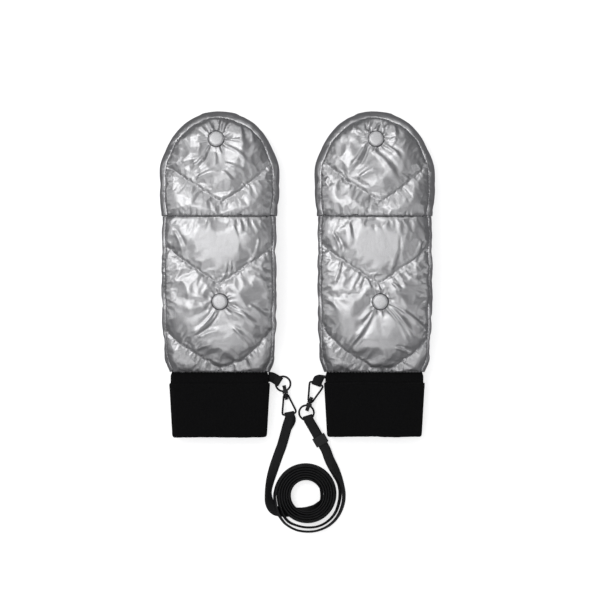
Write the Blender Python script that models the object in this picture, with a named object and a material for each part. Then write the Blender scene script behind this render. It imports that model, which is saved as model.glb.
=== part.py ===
"""A pair of quilted flip-top mittens on a webbing leash, lying flat with the backs of the hands up.

The origin is midway between the mittens, on the surface that they lie on. The fingers point along +Y,
and the left mitten is at -X. Lengths here are in millimetres; MM turns them into Blender's metres.
Each mitten is modelled about its own centre line, with its inner side, toward the other mitten, at +X,
and the right one is the mirror image of the left. A strip of the shell joins each cap to its hand.
"""
import math

import bmesh
import bpy
from mathutils import Matrix, Vector

MM = 0.001
GAP = 0.3

# Where each mitten lies: the sign of its X, and the X of its snaps from its own centre line.
MITTEN_X = 77.5
SIDES = {"left": -1, "right": 1}
HAND_SNAP_X = {"left": 1.0, "right": -5.0}
CAP_SNAP_X = {"left": -2.8, "right": -1.0}

# Layers of the quilt, from outside in, as distances below the outer surface.
SHELL = (0.0, 1.2)
PADDING = (1.8, 4.6)
LINING = (5.2, 6.4)
SECTION_POINTS = 16
SPLIT_GAP = 0.3

# Outlines, as stations of (y, half width, lowest z, highest z, squareness of the section).
HAND = (
    (-96.8, 50.1, 0.4, 25.4, 4.8),
    (-87.0, 54.0, 0.7, 32.5, 4.2),
    (-75.0, 55.3, 6.0, 38.5, 3.4),
    (-60.0, 56.0, 12.5, 43.4, 2.8),
    (-45.0, 56.6, 14.8, 46.4, 2.6),
    (-36.0, 56.8, 15.0, 47.8, 2.6),
    (-17.0, 57.0, 15.2, 47.8, 2.6),
    (5.0, 57.1, 14.9, 48.6, 2.6),
    (30.0, 57.0, 14.4, 48.8, 2.6),
    (46.0, 56.5, 12.8, 48.4, 2.6),
    (58.2, 56.0, 11.5, 48.0, 2.6),
)
CAP = (
    (58.8, 57.6, 3.0, 49.2, 2.6),
    (72.0, 58.4, 3.0, 48.3, 2.6),
    (90.0, 59.0, 2.8, 47.0, 2.6),
    (110.0, 58.0, 2.4, 45.2, 2.6),
    (127.0, 51.0, 2.0, 42.6, 2.5),
    (143.0, 41.0, 2.6, 39.6, 2.4),
    (152.0, 31.5, 4.4, 33.0, 2.3),
    (158.0, 20.0, 6.6, 25.0, 2.2),
    (161.5, 9.0, 10.0, 17.0, 2.0),
)
CAP_TIP_Y = 162.0
DOME_START_Y = 100.0
DOME_POWER = 2.5
QUILT_ENDS = (-87.0, 57.0)
TONGUE_LENGTH = 12.0
TONGUE_EDGE = (0.60, 0.90)

# The cap turns about a line just above the back hem of the hand part.
HINGE_Y = 58.5
HINGE_Z = 51.5

# Knitted sleeve round the fingers, inside the cap.
SLEEVE = (
    (50.0, 49.2, 19.3, 41.2, 2.6),
    (60.0, 48.6, 19.3, 40.8, 2.6),
    (77.0, 46.5, 20.0, 38.6, 2.6),
)
SLEEVE_WALL = 1.6
SLEEVE_SLANT = 7.0

# Rib-knit cuff, folded up on itself: (distance inside the band's surface, y) round its wall.
CUFF_WALL = (
    (4.7, -90.0), (2.6, -90.0), (2.6, -159.2), (2.1, -159.2), (2.1, -107.5),
    (0.0, -107.5), (0.0, -160.0), (0.7, -161.5), (2.3, -162.0), (4.0, -161.5), (4.7, -160.0),
)
CUFF_HEIGHT = 26.0
CUFF_TOP = (-107.5, 50.5)
CUFF_END = (-160.0, 47.5)
CUFF_SQUARENESS = 5.0

# Thumb pouch under the palm, and the hole into it.
THUMB_X = 18.0
THUMB = (
    (-62.0, 5.0, 4.0, 8.0, 2.2),
    (-58.0, 12.0, 1.5, 11.0, 2.4),
    (-48.0, 16.5, 0.0, 14.0, 2.6),
    (-20.0, 17.0, 0.0, 14.0, 2.6),
    (5.0, 16.0, 0.0, 13.5, 2.6),
    (18.0, 12.5, 0.8, 11.5, 2.4),
    (24.0, 6.0, 3.5, 8.5, 2.2),
)
THUMB_POINTS = 12
THUMB_SHELL = (0.0, 1.4)
THUMB_LINING = (1.8, 2.9)
THUMB_HOLE_Y = -42.0
THUMB_HOLE_RADII = (10.5, 14.0)
THUMB_HOLE_Z = (7.0, 30.0)

# Magnetic snaps, as profiles of (radius, height above the shell).
HAND_SNAP_Y = -26.7
CAP_SNAP_Y = 135.0
SNAP_SIDES = 16
SNAP_COVER = ((0, 2.6), (6.2, 2.6), (7.6, 1.5), (7.6, 0.3), (6.9, 0.3), (6.6, 2.0), (0, 2.0))
SNAP_MAGNET = ((0, 1.7), (5.7, 1.7), (5.7, 1.1), (0, 1.1))
SNAP_RIVET = ((0, 0.8), (6.3, 0.8), (6.3, 0.3), (1.5, 0.3), (1.5, -2.6), (2.2, -2.6), (2.2, -3.2), (0, -3.2))
SNAP_BACKPLATE = ((1.8, -1.6), (6.5, -1.6), (6.5, -2.3), (1.8, -2.3))
SNAP_SHELL_HOLE = 1.9
SNAP_PADDING_HOLE = 7.3

# Webbing, and the loops that it makes round a wire.
WEB_WIDTH = 10.0
WEB_THICKNESS = 1.1
FOLD_RADIUS = 1.7
STITCHED_RADIUS = 0.75
WIRE_RADIUS = 0.85
WIRE_SIDES = 8
HARDWARE_Z = 5.0

# O-rings, lying flat: centre, and the direction in which webbing leaves each.
RING_RADIUS = 7.4
RING_FOLD_INSET = 5.05
TAB_RING = (-14.0, -109.2)
TAB_RING_WEB = (-0.85, 0.53)
LEASH_RING = (9.5, -138.2)
LEASH_RING_WEB = (0.30, -0.954)

# Leash tabs, sewn in where the cuff meets the shell.
TAB_ROOT_X = 49.0
TAB_ROOT_Y = -102.15
TAB_ROOT_Z = 9.0
TAB_LEVEL_LENGTH = 4.2
LEFT_TAB_ROUTE = ((-26.6, -102.2, 8.6), (-24.3, -102.9, 6.6))
RIGHT_TAB_ROUTE = ((25.8, -102.0, 8.0), (23.2, -102.4, 6.2))

# Swivel snap hooks: where each barrel's mouth is, and the direction toward its bail.
CLIPS = {"left": ((-11.5, -119.2), (0.19, -0.98)), "right": ((12.7, -128.4), (0.343, 0.939))}
BARREL_RADIUS = 2.7
BARREL_BORE = 1.45
BARREL_LENGTH = 4.5
# One leg of the bail's wire, as (u, v), from the barrel to the bar.
BAIL_LEG = ((-1.9, 2.3), (-17.7, 6.75), (-19.5, 6.65), (-20.7, 5.35))
BAIL_BAR_U = -20.7
SHANK_RADIUS = 1.15
SHANK_HEAD_RADIUS = 1.9
SHANK_END_U = -6.0
SHANK_HEAD_U = -6.1
HOOK_HALF_WIDTH = 1.8
HOOK_EYE_U = (1.7, 6.7)
HOOK_EYE_W = (-2.5, 4.4)
HOOK_OUTER_U = (0.3, 8.5)
HOOK_BOTTOM_W = -4.3
HOOK_LUG = (2.2, 1.4, 3.3)
GATE_PIN_U = 1.25
GATE_PIN_W = 2.35
GATE_PIN_RADIUS = 0.4
GATE_PIN_HOLE = 0.65
GATE_PIN_HALF_LENGTH = 2.9
# The gate's blocks, each as its low corner and its high corner.
GATE_HEAD = ((0.35, -2.8, 3.75), (3.0, 2.8, 4.45))
GATE_TONGUE = ((2.5, -1.7, 3.8), (5.9, 1.7, 4.38))
GATE_CHEEKS = (((0.45, 2.05, 1.6), (2.3, 2.7, 4.1)), ((0.45, -2.7, 1.6), (2.3, -2.05, 4.1)))
GATE_SPRING = ((2.65, 2.3), (2.95, 2.85), (3.6, 3.15), (5.6, 3.15))
GATE_SPRING_HALF_WIDTH = 1.0
GATE_SPRING_HALF_THICKNESS = 0.12
GATE_SPRING_LEAN = 0.05

# The slider on the leash, with one window above the other.
SLIDER_CENTRE = (23.5, -166.0)
SLIDER_ANGLE = -60.5
SLIDER_SIZE = (9.5, 13.5)
SLIDER_Z = (0.2, 6.8)
SLIDER_WINDOW_WIDTH = 10.8
SLIDER_WINDOWS = ((1.2, 3.1), (4.1, 6.0))
WINDOW_Z = (2.15, 5.05)
SLIDER_REACH = 12.0

# The leash's coil, and its three free runs as (x, y, z, roll), with roll 90 where the web is on edge.
COIL_CENTRE = (9.5, -220.6)
COIL_RADII = (15.4, 31.6)
COIL_Z = (1.5, 11.8)
COIL_SIDES = 40
RIGHT_RUN = (
    (33.0, -186.0, 4.97, 10), (39.8, -197.4, 6.3, 45), (44.8, -208.2, 6.2, 70), (47.0, -219.5, 5.6, 80),
    (46.0, -230.5, 5.3, 83), (41.3, -241.8, 5.3, 85), (33.5, -250.5, 5.3, 87), (23.0, -256.5, 5.3, 88),
    (12.0, -258.3, 5.3, 88), (0.0, -256.8, 5.4, 88), (-10.6, -251.0, 6.0, 88), (-16.8, -243.6, 6.7, 88),
    (-20.2, -236.6, 6.9, 88), (-21.4, -230.6, 6.9, 88),
)
TAIL_RUN = (
    (32.3, -185.0, 2.1, 8), (38.0, -198.5, 4.2, 45), (42.0, -209.0, 5.1, 70), (43.3, -220.0, 5.3, 80),
    (41.5, -231.0, 5.3, 83), (37.5, -240.3, 5.3, 85), (30.0, -248.5, 5.3, 86), (20.5, -253.3, 5.3, 87),
    (9.5, -254.2, 5.3, 88), (0.0, -252.3, 5.3, 88), (-8.0, -248.0, 5.3, 88),
)
LEFT_RUN = (
    (-10.4, -153.8, 5.3, 0), (-12.6, -162.0, 4.0, 0), (-15.5, -172.0, 2.2, 0), (-18.8, -182.0, 1.2, 3),
    (-22.7, -195.5, 1.2, 6), (-25.0, -209.0, 1.2, 6), (-26.2, -221.0, 0.8, 1), (-24.6, -230.0, 0.65, 0),
    (-20.5, -235.8, 0.65, 0), (-14.0, -238.3, 0.65, 0), (-7.0, -238.2, 0.65, 0),
)
RUN_STEP = 5.0

MATERIALS = {
    "silver_fabric": ((0.62, 0.62, 0.63), 0.35, 0.8),
    "wadding": ((0.85, 0.85, 0.82), 0.95, 0.0),
    "lining": ((0.05, 0.05, 0.055), 0.9, 0.0),
    "black_knit": ((0.012, 0.012, 0.013), 0.95, 0.0),
    "black_webbing": ((0.015, 0.015, 0.016), 0.8, 0.0),
    "black_metal": ((0.02, 0.02, 0.022), 0.35, 0.7),
    "silver_metal": ((0.72, 0.72, 0.73), 0.4, 1.0),
    "magnet": ((0.35, 0.35, 0.36), 0.3, 1.0),
    "steel": ((0.5, 0.5, 0.5), 0.35, 1.0),
}


# ---------------------------------------------------------------- scene, materials and objects

def clear_scene():
    for item in list(bpy.data.objects):
        bpy.data.objects.remove(item, do_unlink=True)


def make_material(name):
    colour, roughness, metallic = MATERIALS[name]
    material = bpy.data.materials.new(name)
    material.use_nodes = True
    shader = material.node_tree.nodes["Principled BSDF"]
    shader.inputs["Base Color"].default_value = (*colour, 1.0)
    shader.inputs["Roughness"].default_value = roughness
    shader.inputs["Metallic"].default_value = metallic
    return material


def add_object(name, shape, finish, pivot=(0, 0, 0), smooth=True):
    """Make an object from a bmesh in millimetres, with its origin at the pivot."""
    offset = Vector(pivot)
    for vertex in shape.verts:
        vertex.co = (vertex.co - offset) * MM
    bmesh.ops.recalc_face_normals(shape, faces=shape.faces)
    mesh = bpy.data.meshes.new(name)
    shape.to_mesh(mesh)
    shape.free()
    if smooth:
        mesh.shade_smooth()
        mesh.set_sharp_from_angle(angle=math.radians(40))
    item = bpy.data.objects.new(name, mesh)
    item.location = offset * MM
    bpy.context.scene.collection.objects.link(item)
    if finish:
        item.data.materials.append(make_material(finish))
    return item


def add_empty(name, place):
    empty = bpy.data.objects.new(name, None)
    empty.location = Vector(place) * MM
    bpy.context.scene.collection.objects.link(empty)
    return empty


def attach(child, parent):
    """Parent an object and leave it where it stands."""
    child.parent = parent
    child.location = child.location - parent_place(parent)


def parent_place(item):
    place = Vector((0, 0, 0))
    while item:
        place += item.location
        item = item.parent
    return place


def cut(target, cutter):
    """Take a hidden cutter away from the target."""
    cutter.hide_render = True
    cutter.display_type = "WIRE"
    modifier = target.modifiers.new("cut", "BOOLEAN")
    modifier.operation = "DIFFERENCE"
    modifier.solver = "EXACT"
    modifier.object = cutter


# ---------------------------------------------------------------- meshes

def grid_faces(shape, rows, wrap):
    """Join rows of vertices with quads."""
    for lower, upper in zip(rows, rows[1:]):
        count = len(lower)
        for i in range(count if wrap else count - 1):
            j = (i + 1) % count
            shape.faces.new((lower[i], lower[j], upper[j], upper[i]))


def add_rows(shape, rows):
    return [[shape.verts.new(point) for point in row] for row in rows]


def panel(outer, inner):
    """A closed panel between two open grids of points."""
    shape = bmesh.new()
    front = add_rows(shape, outer)
    back = add_rows(shape, inner)
    grid_faces(shape, front, False)
    grid_faces(shape, back, False)
    grid_faces(shape, [front[0], back[0]], False)
    grid_faces(shape, [front[-1], back[-1]], False)
    grid_faces(shape, [[row[0] for row in front], [row[0] for row in back]], False)
    grid_faces(shape, [[row[-1] for row in front], [row[-1] for row in back]], False)
    return shape


def sleeve(outer, inner, closed_end=False):
    """A tube wall between two stacks of rings, open at the start and open or closed at the end."""
    shape = bmesh.new()
    front = add_rows(shape, outer)
    back = add_rows(shape, inner)
    grid_faces(shape, front, True)
    grid_faces(shape, back, True)
    grid_faces(shape, [front[0], back[0]], True)
    if closed_end:
        shape.faces.new(front[-1])
        shape.faces.new(back[-1])
    else:
        grid_faces(shape, [front[-1], back[-1]], True)
    return shape


def capped(rings):
    """A solid through a stack of rings, with a face at each end."""
    shape = bmesh.new()
    rows = add_rows(shape, rings)
    grid_faces(shape, rows, True)
    shape.faces.new(rows[0])
    shape.faces.new(rows[-1])
    return shape


def turned(profile, sides=SNAP_SIDES):
    """A solid of revolution about Z; points on the axis close it."""
    shape = bmesh.new()
    rows = []
    for radius, height in profile:
        if radius == 0:
            rows.append([shape.verts.new((0, 0, height))])
            continue
        turns = [math.tau * i / sides for i in range(sides)]
        rows.append([shape.verts.new((radius * math.cos(t), radius * math.sin(t), height)) for t in turns])
    closed = len(rows[0]) > 1
    pairs = list(zip(rows, rows[1:])) + ([(rows[-1], rows[0])] if closed else [])
    for lower, upper in pairs:
        join_rings(shape, lower, upper, sides)
    return shape


def join_rings(shape, lower, upper, sides):
    for i in range(sides):
        j = (i + 1) % sides
        if len(lower) == 1:
            shape.faces.new((lower[0], upper[j], upper[i]))
        elif len(upper) == 1:
            shape.faces.new((lower[i], lower[j], upper[0]))
        else:
            shape.faces.new((lower[i], lower[j], upper[j], upper[i]))


def block(lower, upper):
    """A box between two corners."""
    shape = bmesh.new()
    size = [b - a for a, b in zip(lower, upper)]
    middle = [(a + b) / 2 for a, b in zip(lower, upper)]
    bmesh.ops.create_cube(shape, size=1.0, matrix=Matrix.Translation(middle) @ Matrix.Diagonal((*size, 1)))
    return shape


def moved(shape, matrix):
    bmesh.ops.transform(shape, matrix=matrix, verts=shape.verts)
    return shape


def united(name, shapes, finish, pivot, smooth=True):
    """One object from overlapping shapes, by Boolean unions."""
    body = add_object(name, shapes[0], finish, pivot, smooth)
    for index, shape in enumerate(shapes[1:]):
        piece = add_object(f"{name}_join_{index}", shape, None, pivot, False)
        piece.hide_render = True
        piece.display_type = "WIRE"
        modifier = body.modifiers.new("join", "BOOLEAN")
        modifier.operation = "UNION"
        modifier.solver = "EXACT"
        modifier.object = piece
    return body


def smoothstep(value):
    value = max(0.0, min(1.0, value))
    return value * value * (3 - 2 * value)


# ---------------------------------------------------------------- quilted sections

def section_ring(station, count=SECTION_POINTS):
    """Points round a superellipse; its top and bottom facets lie exactly at the station's z."""
    y, half_width, low, high, squareness = station
    middle = (low + high) / 2
    half_height = (high - low) / 2
    power = 2 / squareness
    crest = math.cos(math.pi / count) ** power
    ring = []
    for i in range(count):
        turn = math.tau * (i + 0.5) / count
        across = math.copysign(abs(math.cos(turn)) ** power, math.cos(turn)) / crest
        up = math.copysign(abs(math.sin(turn)) ** power, math.sin(turn)) / crest
        ring.append(Vector((half_width * across, y, middle + half_height * up)))
    return ring


def inset(station, depth, lean=0.0):
    """A station moved in by a depth, along a normal that leans toward the fingertips."""
    y, half_width, low, high, squareness = station
    side = depth * math.cos(lean)
    return (y - depth * math.sin(lean), half_width - side, low + side, high - side, squareness)


def dome_lean(y):
    reach = (y - DOME_START_Y) / (CAP[-1][0] - DOME_START_Y)
    return math.radians(90) * max(0.0, reach) ** DOME_POWER


def station_at(stations, y):
    for near, far in zip(stations, stations[1:]):
        if near[0] <= y <= far[0]:
            share = (y - near[0]) / (far[0] - near[0])
            return tuple(a + (b - a) * share for a, b in zip(near, far))
    raise ValueError("y lies outside the stations")


def cap_rings(depth):
    rings = [section_ring(inset(station, depth, dome_lean(station[0]))) for station in CAP]
    for point in rings[0]:
        middle = (CAP[0][2] + CAP[0][3]) / 2
        across = abs(point.x) / (CAP[0][1] - depth)
        if point.z < middle:
            share = (TONGUE_EDGE[1] - across) / (TONGUE_EDGE[1] - TONGUE_EDGE[0])
            point.y -= TONGUE_LENGTH * smoothstep(share)
    return rings


def half_row(ring, upper):
    """The upper or lower half of a ring, with its ends just short of the side seam."""
    half = len(ring) // 2
    points = ring[:half] if upper else ring[half:]
    middle = (ring[0].z + ring[-1].z) / 2
    rise = SPLIT_GAP if upper else -SPLIT_GAP
    first = Vector((points[0].x, points[0].y, middle + rise))
    last = Vector((points[-1].x, points[-1].y, middle + rise))
    return [first] + points + [last]


def tip_row(row, depth):
    """A straight row that closes the fingertip end of a half shell."""
    level = row[0].z
    return [Vector((point.x * 0.85, CAP_TIP_Y - depth, level)) for point in row]


def half_shell(rings_outer, rings_inner, upper, tipped):
    outer = [half_row(ring, upper) for ring in rings_outer]
    inner = [half_row(ring, upper) for ring in rings_inner]
    if tipped:
        outer.append(tip_row(outer[-1], 0.0))
        inner.append(tip_row(inner[-1], SHELL[1]))
    return panel(outer, inner)


def mirrored(shape, side):
    """Turn a piece of the left mitten into the right one's, and move it to its mitten."""
    if side > 0:
        bmesh.ops.transform(shape, matrix=Matrix.Diagonal((-1, 1, 1, 1)), verts=shape.verts)
    return moved(shape, Matrix.Translation((side * MITTEN_X, 0, 0)))


def make_hand_quilt(label, side):
    outer = [section_ring(inset(station, SHELL[0])) for station in HAND]
    inner = [section_ring(inset(station, SHELL[1])) for station in HAND]
    back_half = mirrored(half_shell(outer, inner, True, False), side)
    palm_half = mirrored(half_shell(outer, inner, False, False), side)
    back = add_object(f"{label}_back_shell", back_half, "silver_fabric")
    palm = add_object(f"{label}_palm_shell", palm_half, "silver_fabric")
    start, end = QUILT_ENDS
    stations = [station_at(HAND, start)] + list(HAND[2:-1]) + [station_at(HAND, end)]
    layers = []
    for piece, (near, far), finish in (("padding", PADDING, "wadding"), ("lining", LINING, "lining")):
        wall = sleeve([section_ring(inset(s, near)) for s in stations],
                      [section_ring(inset(s, far)) for s in stations])
        layers.append(add_object(f"{label}_{piece}", mirrored(wall, side), finish))
    return back, palm, layers[0], layers[1]


def make_cap_quilt(label, side, pivot):
    outer = cap_rings(SHELL[0])
    inner = cap_rings(SHELL[1])
    back_half = mirrored(half_shell(outer, inner, True, True), side)
    palm_half = mirrored(half_shell(outer, inner, False, True), side)
    back = add_object(f"{label}_cap_back_shell", back_half, "silver_fabric", pivot)
    palm = add_object(f"{label}_cap_palm_shell", palm_half, "silver_fabric", pivot)
    layers = []
    for piece, (near, far), finish in (("padding", PADDING, "wadding"), ("lining", LINING, "lining")):
        wall = mirrored(sleeve(cap_rings(near), cap_rings(far), True), side)
        layers.append(add_object(f"{label}_cap_{piece}", wall, finish, pivot))
    return back, palm, layers[0], layers[1]


def make_finger_sleeve(label, side):
    outer = [section_ring(station) for station in SLEEVE]
    inner = [section_ring(inset(station, SLEEVE_WALL)) for station in SLEEVE]
    for ring in (outer[-1], inner[-1]):
        middle = (ring[0].z + ring[-1].z) / 2
        reach = max(point.z for point in ring) - middle
        for point in ring:
            point.y += SLEEVE_SLANT * (point.z - middle) / reach
    return add_object(f"{label}_finger_sleeve", mirrored(sleeve(outer, inner), side), "black_knit")


def make_rib_cuff(label, side):
    """One knitted tube, turned up on itself: its wall's section is carried round the wrist."""
    (top_y, top_width), (end_y, end_width) = CUFF_TOP, CUFF_END
    rings = []
    for depth, y in CUFF_WALL:
        share = max(0.0, min(1.0, (top_y - y) / (top_y - end_y)))
        half_width = top_width + (end_width - top_width) * share
        station = (y, half_width, 0.0, CUFF_HEIGHT, CUFF_SQUARENESS)
        rings.append(section_ring(inset(station, depth)))
    shape = bmesh.new()
    rows = add_rows(shape, rings)
    grid_faces(shape, rows + [rows[0]], True)
    return add_object(f"{label}_rib_cuff", mirrored(shape, side), "black_knit")


def make_thumb(label, side):
    """A pouch of shell and lining; a hidden core hollows each, and one hole opens all the layers."""
    pieces = []
    layers = (("shell", THUMB_SHELL, "silver_fabric"), ("lining", THUMB_LINING, "lining"))
    for piece, (near, far), finish in layers:
        wall = mirrored(thumb_core(near), side)
        body = add_object(f"{label}_thumb_{piece}", wall, finish)
        core = add_object(f"{label}_thumb_{piece}_core", mirrored(thumb_core(far), side), None)
        cut(body, core)
        pieces.append(body)
    return pieces


def thumb_core(depth):
    first, last = THUMB[0][0], THUMB[-1][0]
    rings = []
    for station in THUMB:
        y, half_width, low, high, squareness = station
        end = abs(2 * (y - first) / (last - first) - 1) ** 4
        shrink = depth * (1 - 0.75 * end)
        inward = depth * end * (1 if y < 0 else -1)
        moved_station = (y + inward, half_width - shrink, low + shrink, high - shrink, squareness)
        rings.append(section_ring(moved_station, THUMB_POINTS))
    shape = capped(rings)
    return moved(shape, Matrix.Translation((THUMB_X, 0, 0)))


def thumb_hole(label, side):
    low, high = THUMB_HOLE_Z
    across, along = THUMB_HOLE_RADII
    shape = turned(((0, high), (1, high), (1, low), (0, low)))
    stretch = Matrix.Translation((THUMB_X, THUMB_HOLE_Y, 0)) @ Matrix.Diagonal((across, along, 1, 1))
    return add_object(f"{label}_thumb_hole", mirrored(moved(shape, stretch), side), None)


# ---------------------------------------------------------------- magnetic snaps

def surface_frame(stations, x, y):
    """A frame on the flat top of the quilt, with Z along its normal."""
    below = station_at(stations, y - 1)
    above = station_at(stations, y + 1)
    height = (below[3] + above[3]) / 2
    tilt = math.atan2(above[3] - below[3], 2)
    return Matrix.Translation((x, y, height)) @ Matrix.Rotation(tilt, 4, "X")


def make_snap(prefix, frame, pivot):
    """A disc over a magnet, riveted through the shell to a plate behind it."""
    pieces = []
    for piece, profile, finish in (("cover", SNAP_COVER, "silver_metal"), ("magnet", SNAP_MAGNET, "magnet"),
                                   ("rivet", SNAP_RIVET, "steel"), ("backplate", SNAP_BACKPLATE, "steel")):
        pieces.append(add_object(f"{prefix}_{piece}", moved(turned(profile), frame), finish, pivot))
    return pieces


def snap_holes(prefix, frame, shell, padding):
    for target, radius in ((shell, SNAP_SHELL_HOLE), (padding, SNAP_PADDING_HOLE)):
        hole = moved(turned(((0, 4), (radius, 4), (radius, -8), (0, -8))), frame)
        cut(target, add_object(f"{prefix}_hole_{radius:.0f}", hole, None))


def make_snaps(label, side, hand, cap, pivot):
    centre = side * MITTEN_X
    hand_frame = surface_frame(HAND, centre + HAND_SNAP_X[label] * (-side), HAND_SNAP_Y)
    cap_frame = surface_frame(CAP, centre + CAP_SNAP_X[label] * (-side), CAP_SNAP_Y)
    hand_pieces = make_snap(f"{label}_hand_snap", hand_frame, (0, 0, 0))
    cap_pieces = make_snap(f"{label}_cap_snap", cap_frame, pivot)
    snap_holes(f"{label}_hand_snap", hand_frame, hand[0], hand[2])
    snap_holes(f"{label}_cap_snap", cap_frame, cap[0], cap[2])
    return hand_pieces, cap_pieces


# ---------------------------------------------------------------- webbing

def curve_through(points, step):
    """A smooth curve through a route's points, read off about every step."""
    vectors = [tuple(map(float, point)) for point in points]
    padded = [extended(vectors[1], vectors[0])] + vectors + [extended(vectors[-2], vectors[-1])]
    curve = []
    for i in range(1, len(padded) - 2):
        span = math.dist(padded[i][:3], padded[i + 1][:3])
        count = max(1, round(span / step))
        curve += [spline_point(padded[i - 1:i + 3], k / count) for k in range(count)]
    return curve + [vectors[-1]]


def extended(near, end):
    return tuple(2 * e - n for n, e in zip(near, end))


def spline_point(four, t):
    a, b, c, d = four
    return tuple(
        0.5 * (2 * q + (r - p) * t + (2 * p - 5 * q + 4 * r - s) * t * t + (3 * q - p - 3 * r + s) * t ** 3)
        for p, q, r, s in zip(a, b, c, d)
    )


def rolled_widths(curve):
    """The width direction at each point: level at roll 0, with the outward edge low at roll 90."""
    widths = []
    for i, point in enumerate(curve):
        before = Vector(curve[max(0, i - 1)][:3])
        after = Vector(curve[min(len(curve) - 1, i + 1)][:3])
        level = Vector((0, 0, 1)).cross(after - before).normalized()
        roll = math.radians(point[3])
        widths.append(level * math.cos(roll) - Vector((0, 0, 1)) * math.sin(roll))
    return widths


def eased_widths(widths, start, count):
    """Widths that set out from a given direction and take up their own over a few points."""
    shares = [smoothstep(i / count) for i in range(len(widths))]
    return [start.lerp(width, share).normalized() for width, share in zip(widths, shares)]


def ribbon(centres, widths):
    """A flat strap along a path, its width direction given at each point."""
    places = [Vector(point[:3]) for point in centres]
    rings = []
    for i, place in enumerate(places):
        along = (places[min(len(places) - 1, i + 1)] - places[max(0, i - 1)]).normalized()
        wide = widths[i].normalized()
        thick = along.cross(wide).normalized() * WEB_THICKNESS / 2
        wide = wide * WEB_WIDTH / 2
        rings.append([place + wide + thick, place - wide + thick, place - wide - thick, place + wide - thick])
    return capped(rings)


def fold_points(centre, away, count=5):
    """The bend of a strap round a wire, from under it to over it; the strap leaves along away."""
    out = Vector(away).normalized()
    up = Vector((0, 0, 1))
    turns = [math.pi * (k / (count - 1) - 0.5) for k in range(count)]
    return [Vector(centre) - out * FOLD_RADIUS * math.cos(t) + up * FOLD_RADIUS * math.sin(t) for t in turns]


def make_tab(label, side, bend, away, root_width, bend_width, middle):
    """A loop of webbing from the cuff seam, round a ring or a bar, and back."""
    root = Vector((side * (MITTEN_X - TAB_ROOT_X), TAB_ROOT_Y, TAB_ROOT_Z))
    route = [root, *middle, bend + away * TAB_LEVEL_LENGTH, bend]
    spine = [Vector(point) for point in curve_through(route, 2.5)]
    last = len(spine) - 1
    over, under, widths = [], [], []
    for i, place in enumerate(spine):
        share = min(1.0, i / (last - 2))
        along = (spine[min(last, i + 1)] - spine[max(0, i - 1)]).normalized()
        wide = (Vector(root_width) * (1 - share) + Vector(bend_width) * share).normalized()
        lift = along.cross(wide).normalized()
        if lift.z < 0:
            lift = -lift
        lift = lift.lerp(Vector((0, 0, 1)), smoothstep(share)).normalized()
        spread = STITCHED_RADIUS + (FOLD_RADIUS - STITCHED_RADIUS) * smoothstep(share)
        over.append(place + lift * spread)
        under.append(place - lift * spread)
        widths.append(wide)
    bend_points = fold_points(bend, away)
    path = under[:-1] + bend_points + over[-2::-1]
    wides = widths[:-1] + [Vector(bend_width)] * len(bend_points) + widths[-2::-1]
    return add_object(f"{label}_leash_tab", ribbon(path, wides), "black_webbing", smooth=False)


def level_normal(direction):
    return Vector((-direction[1], direction[0], 0)).normalized()


def make_tabs():
    away = Vector((*TAB_RING_WEB, 0)).normalized()
    bend = Vector((*TAB_RING, HARDWARE_Z)) + away * RING_FOLD_INSET
    make_tab("left", -1, bend, away, (0, 1, 0), -level_normal(TAB_RING_WEB), LEFT_TAB_ROUTE)
    (origin, bailward) = CLIPS["right"]
    away = Vector((*bailward, 0)).normalized()
    bar = Vector((*origin, HARDWARE_Z)) - away * BAIL_BAR_U
    make_tab("right", 1, bar, away, (0, 0, 1), -level_normal(bailward), RIGHT_TAB_ROUTE)


def slider_line(offset, z):
    turn = math.radians(SLIDER_ANGLE)
    return (SLIDER_CENTRE[0] + offset * math.cos(turn), SLIDER_CENTRE[1] + offset * math.sin(turn), z, 0)


def make_leash_right():
    """From the coil through the slider's upper window, round the leash ring, and back to the slider."""
    away = Vector((*LEASH_RING_WEB, 0)).normalized()
    bend = Vector((*LEASH_RING, HARDWARE_Z)) + away * RING_FOLD_INSET
    lower, upper = WINDOW_Z
    near_bend = bend + away * 3
    under = [slider_line(-SLIDER_REACH, lower), (*near_bend[:2], bend.z - FOLD_RADIUS, 0)]
    window = [slider_line(offset, upper) for offset in (-SLIDER_REACH, 0, SLIDER_REACH - 1)]
    over = [(*near_bend[:2], bend.z + FOLD_RADIUS, 0), *window, *RIGHT_RUN]
    lower_run = curve_through(under, RUN_STEP)
    upper_run = curve_through(over, RUN_STEP)
    folded = fold_points(bend, away)
    turned_width = level_normal(away)
    lower_widths = [-width for width in rolled_widths(lower_run)]
    upper_widths = eased_widths(rolled_widths(upper_run), turned_width, 3)
    widths = lower_widths + [turned_width] * len(folded) + upper_widths
    path = lower_run + folded + upper_run
    add_object("leash_strap_right", ribbon(path, widths), "black_webbing", smooth=False)


def make_leash_tail():
    lower = WINDOW_Z[0]
    start = [slider_line(offset, lower) for offset in (GAP - SLIDER_REACH, 0, SLIDER_REACH - 1)]
    run = curve_through(start + list(TAIL_RUN), RUN_STEP)
    add_object("leash_strap_tail", ribbon(run, rolled_widths(run)), "black_webbing", smooth=False)


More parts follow.
